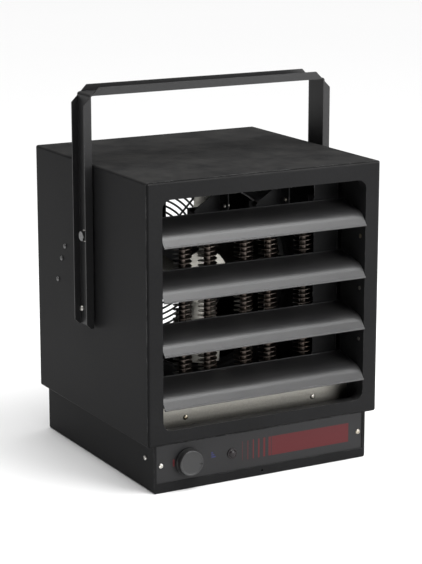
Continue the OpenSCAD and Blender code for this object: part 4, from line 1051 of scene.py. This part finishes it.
class SetStage(bpy.types.Operator):
    """Sets the camera, floor, softboxes and surroundings"""

    bl_idname = "heater.set_stage"
    bl_label = "Set Stage"

    def execute(self, context):
        scene = context.scene
        studio = scene.heater_studio
        camera = bpy.data.cameras.new("Camera")
        camera.lens = studio.lens
        camera.sensor_width = 36.0
        camera.clip_end = 50.0
        eye = bpy.data.objects.new("Camera", camera)
        eye.location = (-1.3046, -2.3815, 0.8842)
        eye.rotation_euler = (radians(90 - 13.374), 0.0, radians(-28.919))
        scene.collection.objects.link(eye)
        scene.camera = eye
        self.floor(studio)
        self.softbox("Front", (1.25, -2.2, 0.75), (0, -0.15, 0.2), (1.3, 1.3), studio.front)
        self.softbox("Overhead", (0.45, -0.75, 1.75), (0, -0.16, 0.26), (1.3, 1.0), studio.overhead)
        self.sun(studio)
        world = bpy.data.worlds.new("Studio")
        world.use_nodes = True
        tree = world.node_tree
        shown = tree.nodes["Background"]
        shown.inputs["Color"].default_value = (1.0, 1.0, 1.0, 1.0)
        shown.inputs["Strength"].default_value = 1.0
        dim = add(tree, "ShaderNodeBackground", {"Color": (1.0, 1.0, 1.0, 1.0), "Strength": 0.1})
        seen = add(tree, "ShaderNodeLightPath").outputs["Is Camera Ray"]
        both = add(tree, "ShaderNodeMixShader", {0: seen, 1: dim.outputs[0], 2: shown.outputs[0]})
        tree.links.new(both.outputs[0], tree.nodes["World Output"].inputs["Surface"])
        scene.world = world
        scene.view_settings.view_transform = "Standard"
        scene.view_settings.look = "None"
        return {"FINISHED"}

    def floor(self, studio):
        """Pale seamless floor."""
        bpy.ops.object.select_all(action="DESELECT")
        bpy.ops.mesh.primitive_plane_add(size=30, location=(0, 0, -0.0002))
        piece = bpy.context.object
        piece.name = "floor"
        material, tree, shader, place = start_material("Floor")
        tone = use(tree, tone_group(), Vector=place, Scale=0.5)
        pale = colour(studio.floor)
        tint = blend_colour(tree, tone.outputs["Cloud"], pale, colour([c * 0.99 for c in pale[:3]]))
        tree.links.new(tint, shader.inputs["Base Color"])
        shader.inputs["Roughness"].default_value = 0.8
        shader.inputs["Specular IOR Level"].default_value = 0.1
        piece.data.materials.append(material)

    def sun(self, studio):
        """Even light from above that keeps the floor white all round."""
        lamp = bpy.data.lights.new("Sky", "SUN")
        lamp.energy = studio.sky
        lamp.angle = radians(70)
        lamp.specular_factor = 0.3
        sky = bpy.data.objects.new("Sky", lamp)
        sky.location = (0, 0, 3)
        bpy.context.scene.collection.objects.link(sky)

    def softbox(self, name, place, aim, size, power):
        """Area light aimed at a point."""
        lamp = bpy.data.lights.new(name, "AREA")
        lamp.shape = "RECTANGLE"
        lamp.size, lamp.size_y = size
        lamp.energy = power
        box = bpy.data.objects.new(name, lamp)
        box.location = place
        box.rotation_euler = (Vector(aim) - Vector(place)).to_track_quat("-Z", "Y").to_euler()
        bpy.context.scene.collection.objects.link(box)


OPERATORS = (FoldSheets, FormLouvres, WindElements, TurnKnob, MountLamp, DriveScrews, BoltYoke,
             PressFan, WeldGuard, DressDevices, PaintFrame, SetStage)


class UnitHeaterPanel(bpy.types.Panel):
    """Lists the heater's sizes, finishes and building steps"""

    bl_idname = "VIEW3D_PT_unit_heater"
    bl_label = "Unit Heater"
    bl_space_type = "VIEW_3D"
    bl_region_type = "UI"
    bl_category = "Unit Heater"

    def draw(self, context):
        layout = self.layout
        scene = context.scene
        for settings in (scene.heater_look, scene.heater_sizes, scene.heater_studio):
            column = layout.column()
            for key in settings.__annotations__:
                column.prop(settings, key)
        for operator in OPERATORS:
            layout.operator(operator.bl_idname)


CLASSES = (HeaterLook, HeaterSizes, HeaterStudio) + OPERATORS + (UnitHeaterPanel,)


def register():
    for kind in CLASSES:
        bpy.utils.register_class(kind)
    bpy.types.Scene.heater_look = PointerProperty(type=HeaterLook)
    bpy.types.Scene.heater_sizes = PointerProperty(type=HeaterSizes)
    bpy.types.Scene.heater_studio = PointerProperty(type=HeaterStudio)


def unregister():
    del bpy.types.Scene.heater_studio
    del bpy.types.Scene.heater_sizes
    del bpy.types.Scene.heater_look
    for kind in reversed(CLASSES):
        bpy.utils.unregister_class(kind)


def main():
    register()
    for operator in OPERATORS:
        group_name, call = operator.bl_idname.split(".")
        getattr(getattr(bpy.ops, group_name), call)()


if __name__ == "__main__":
    main()
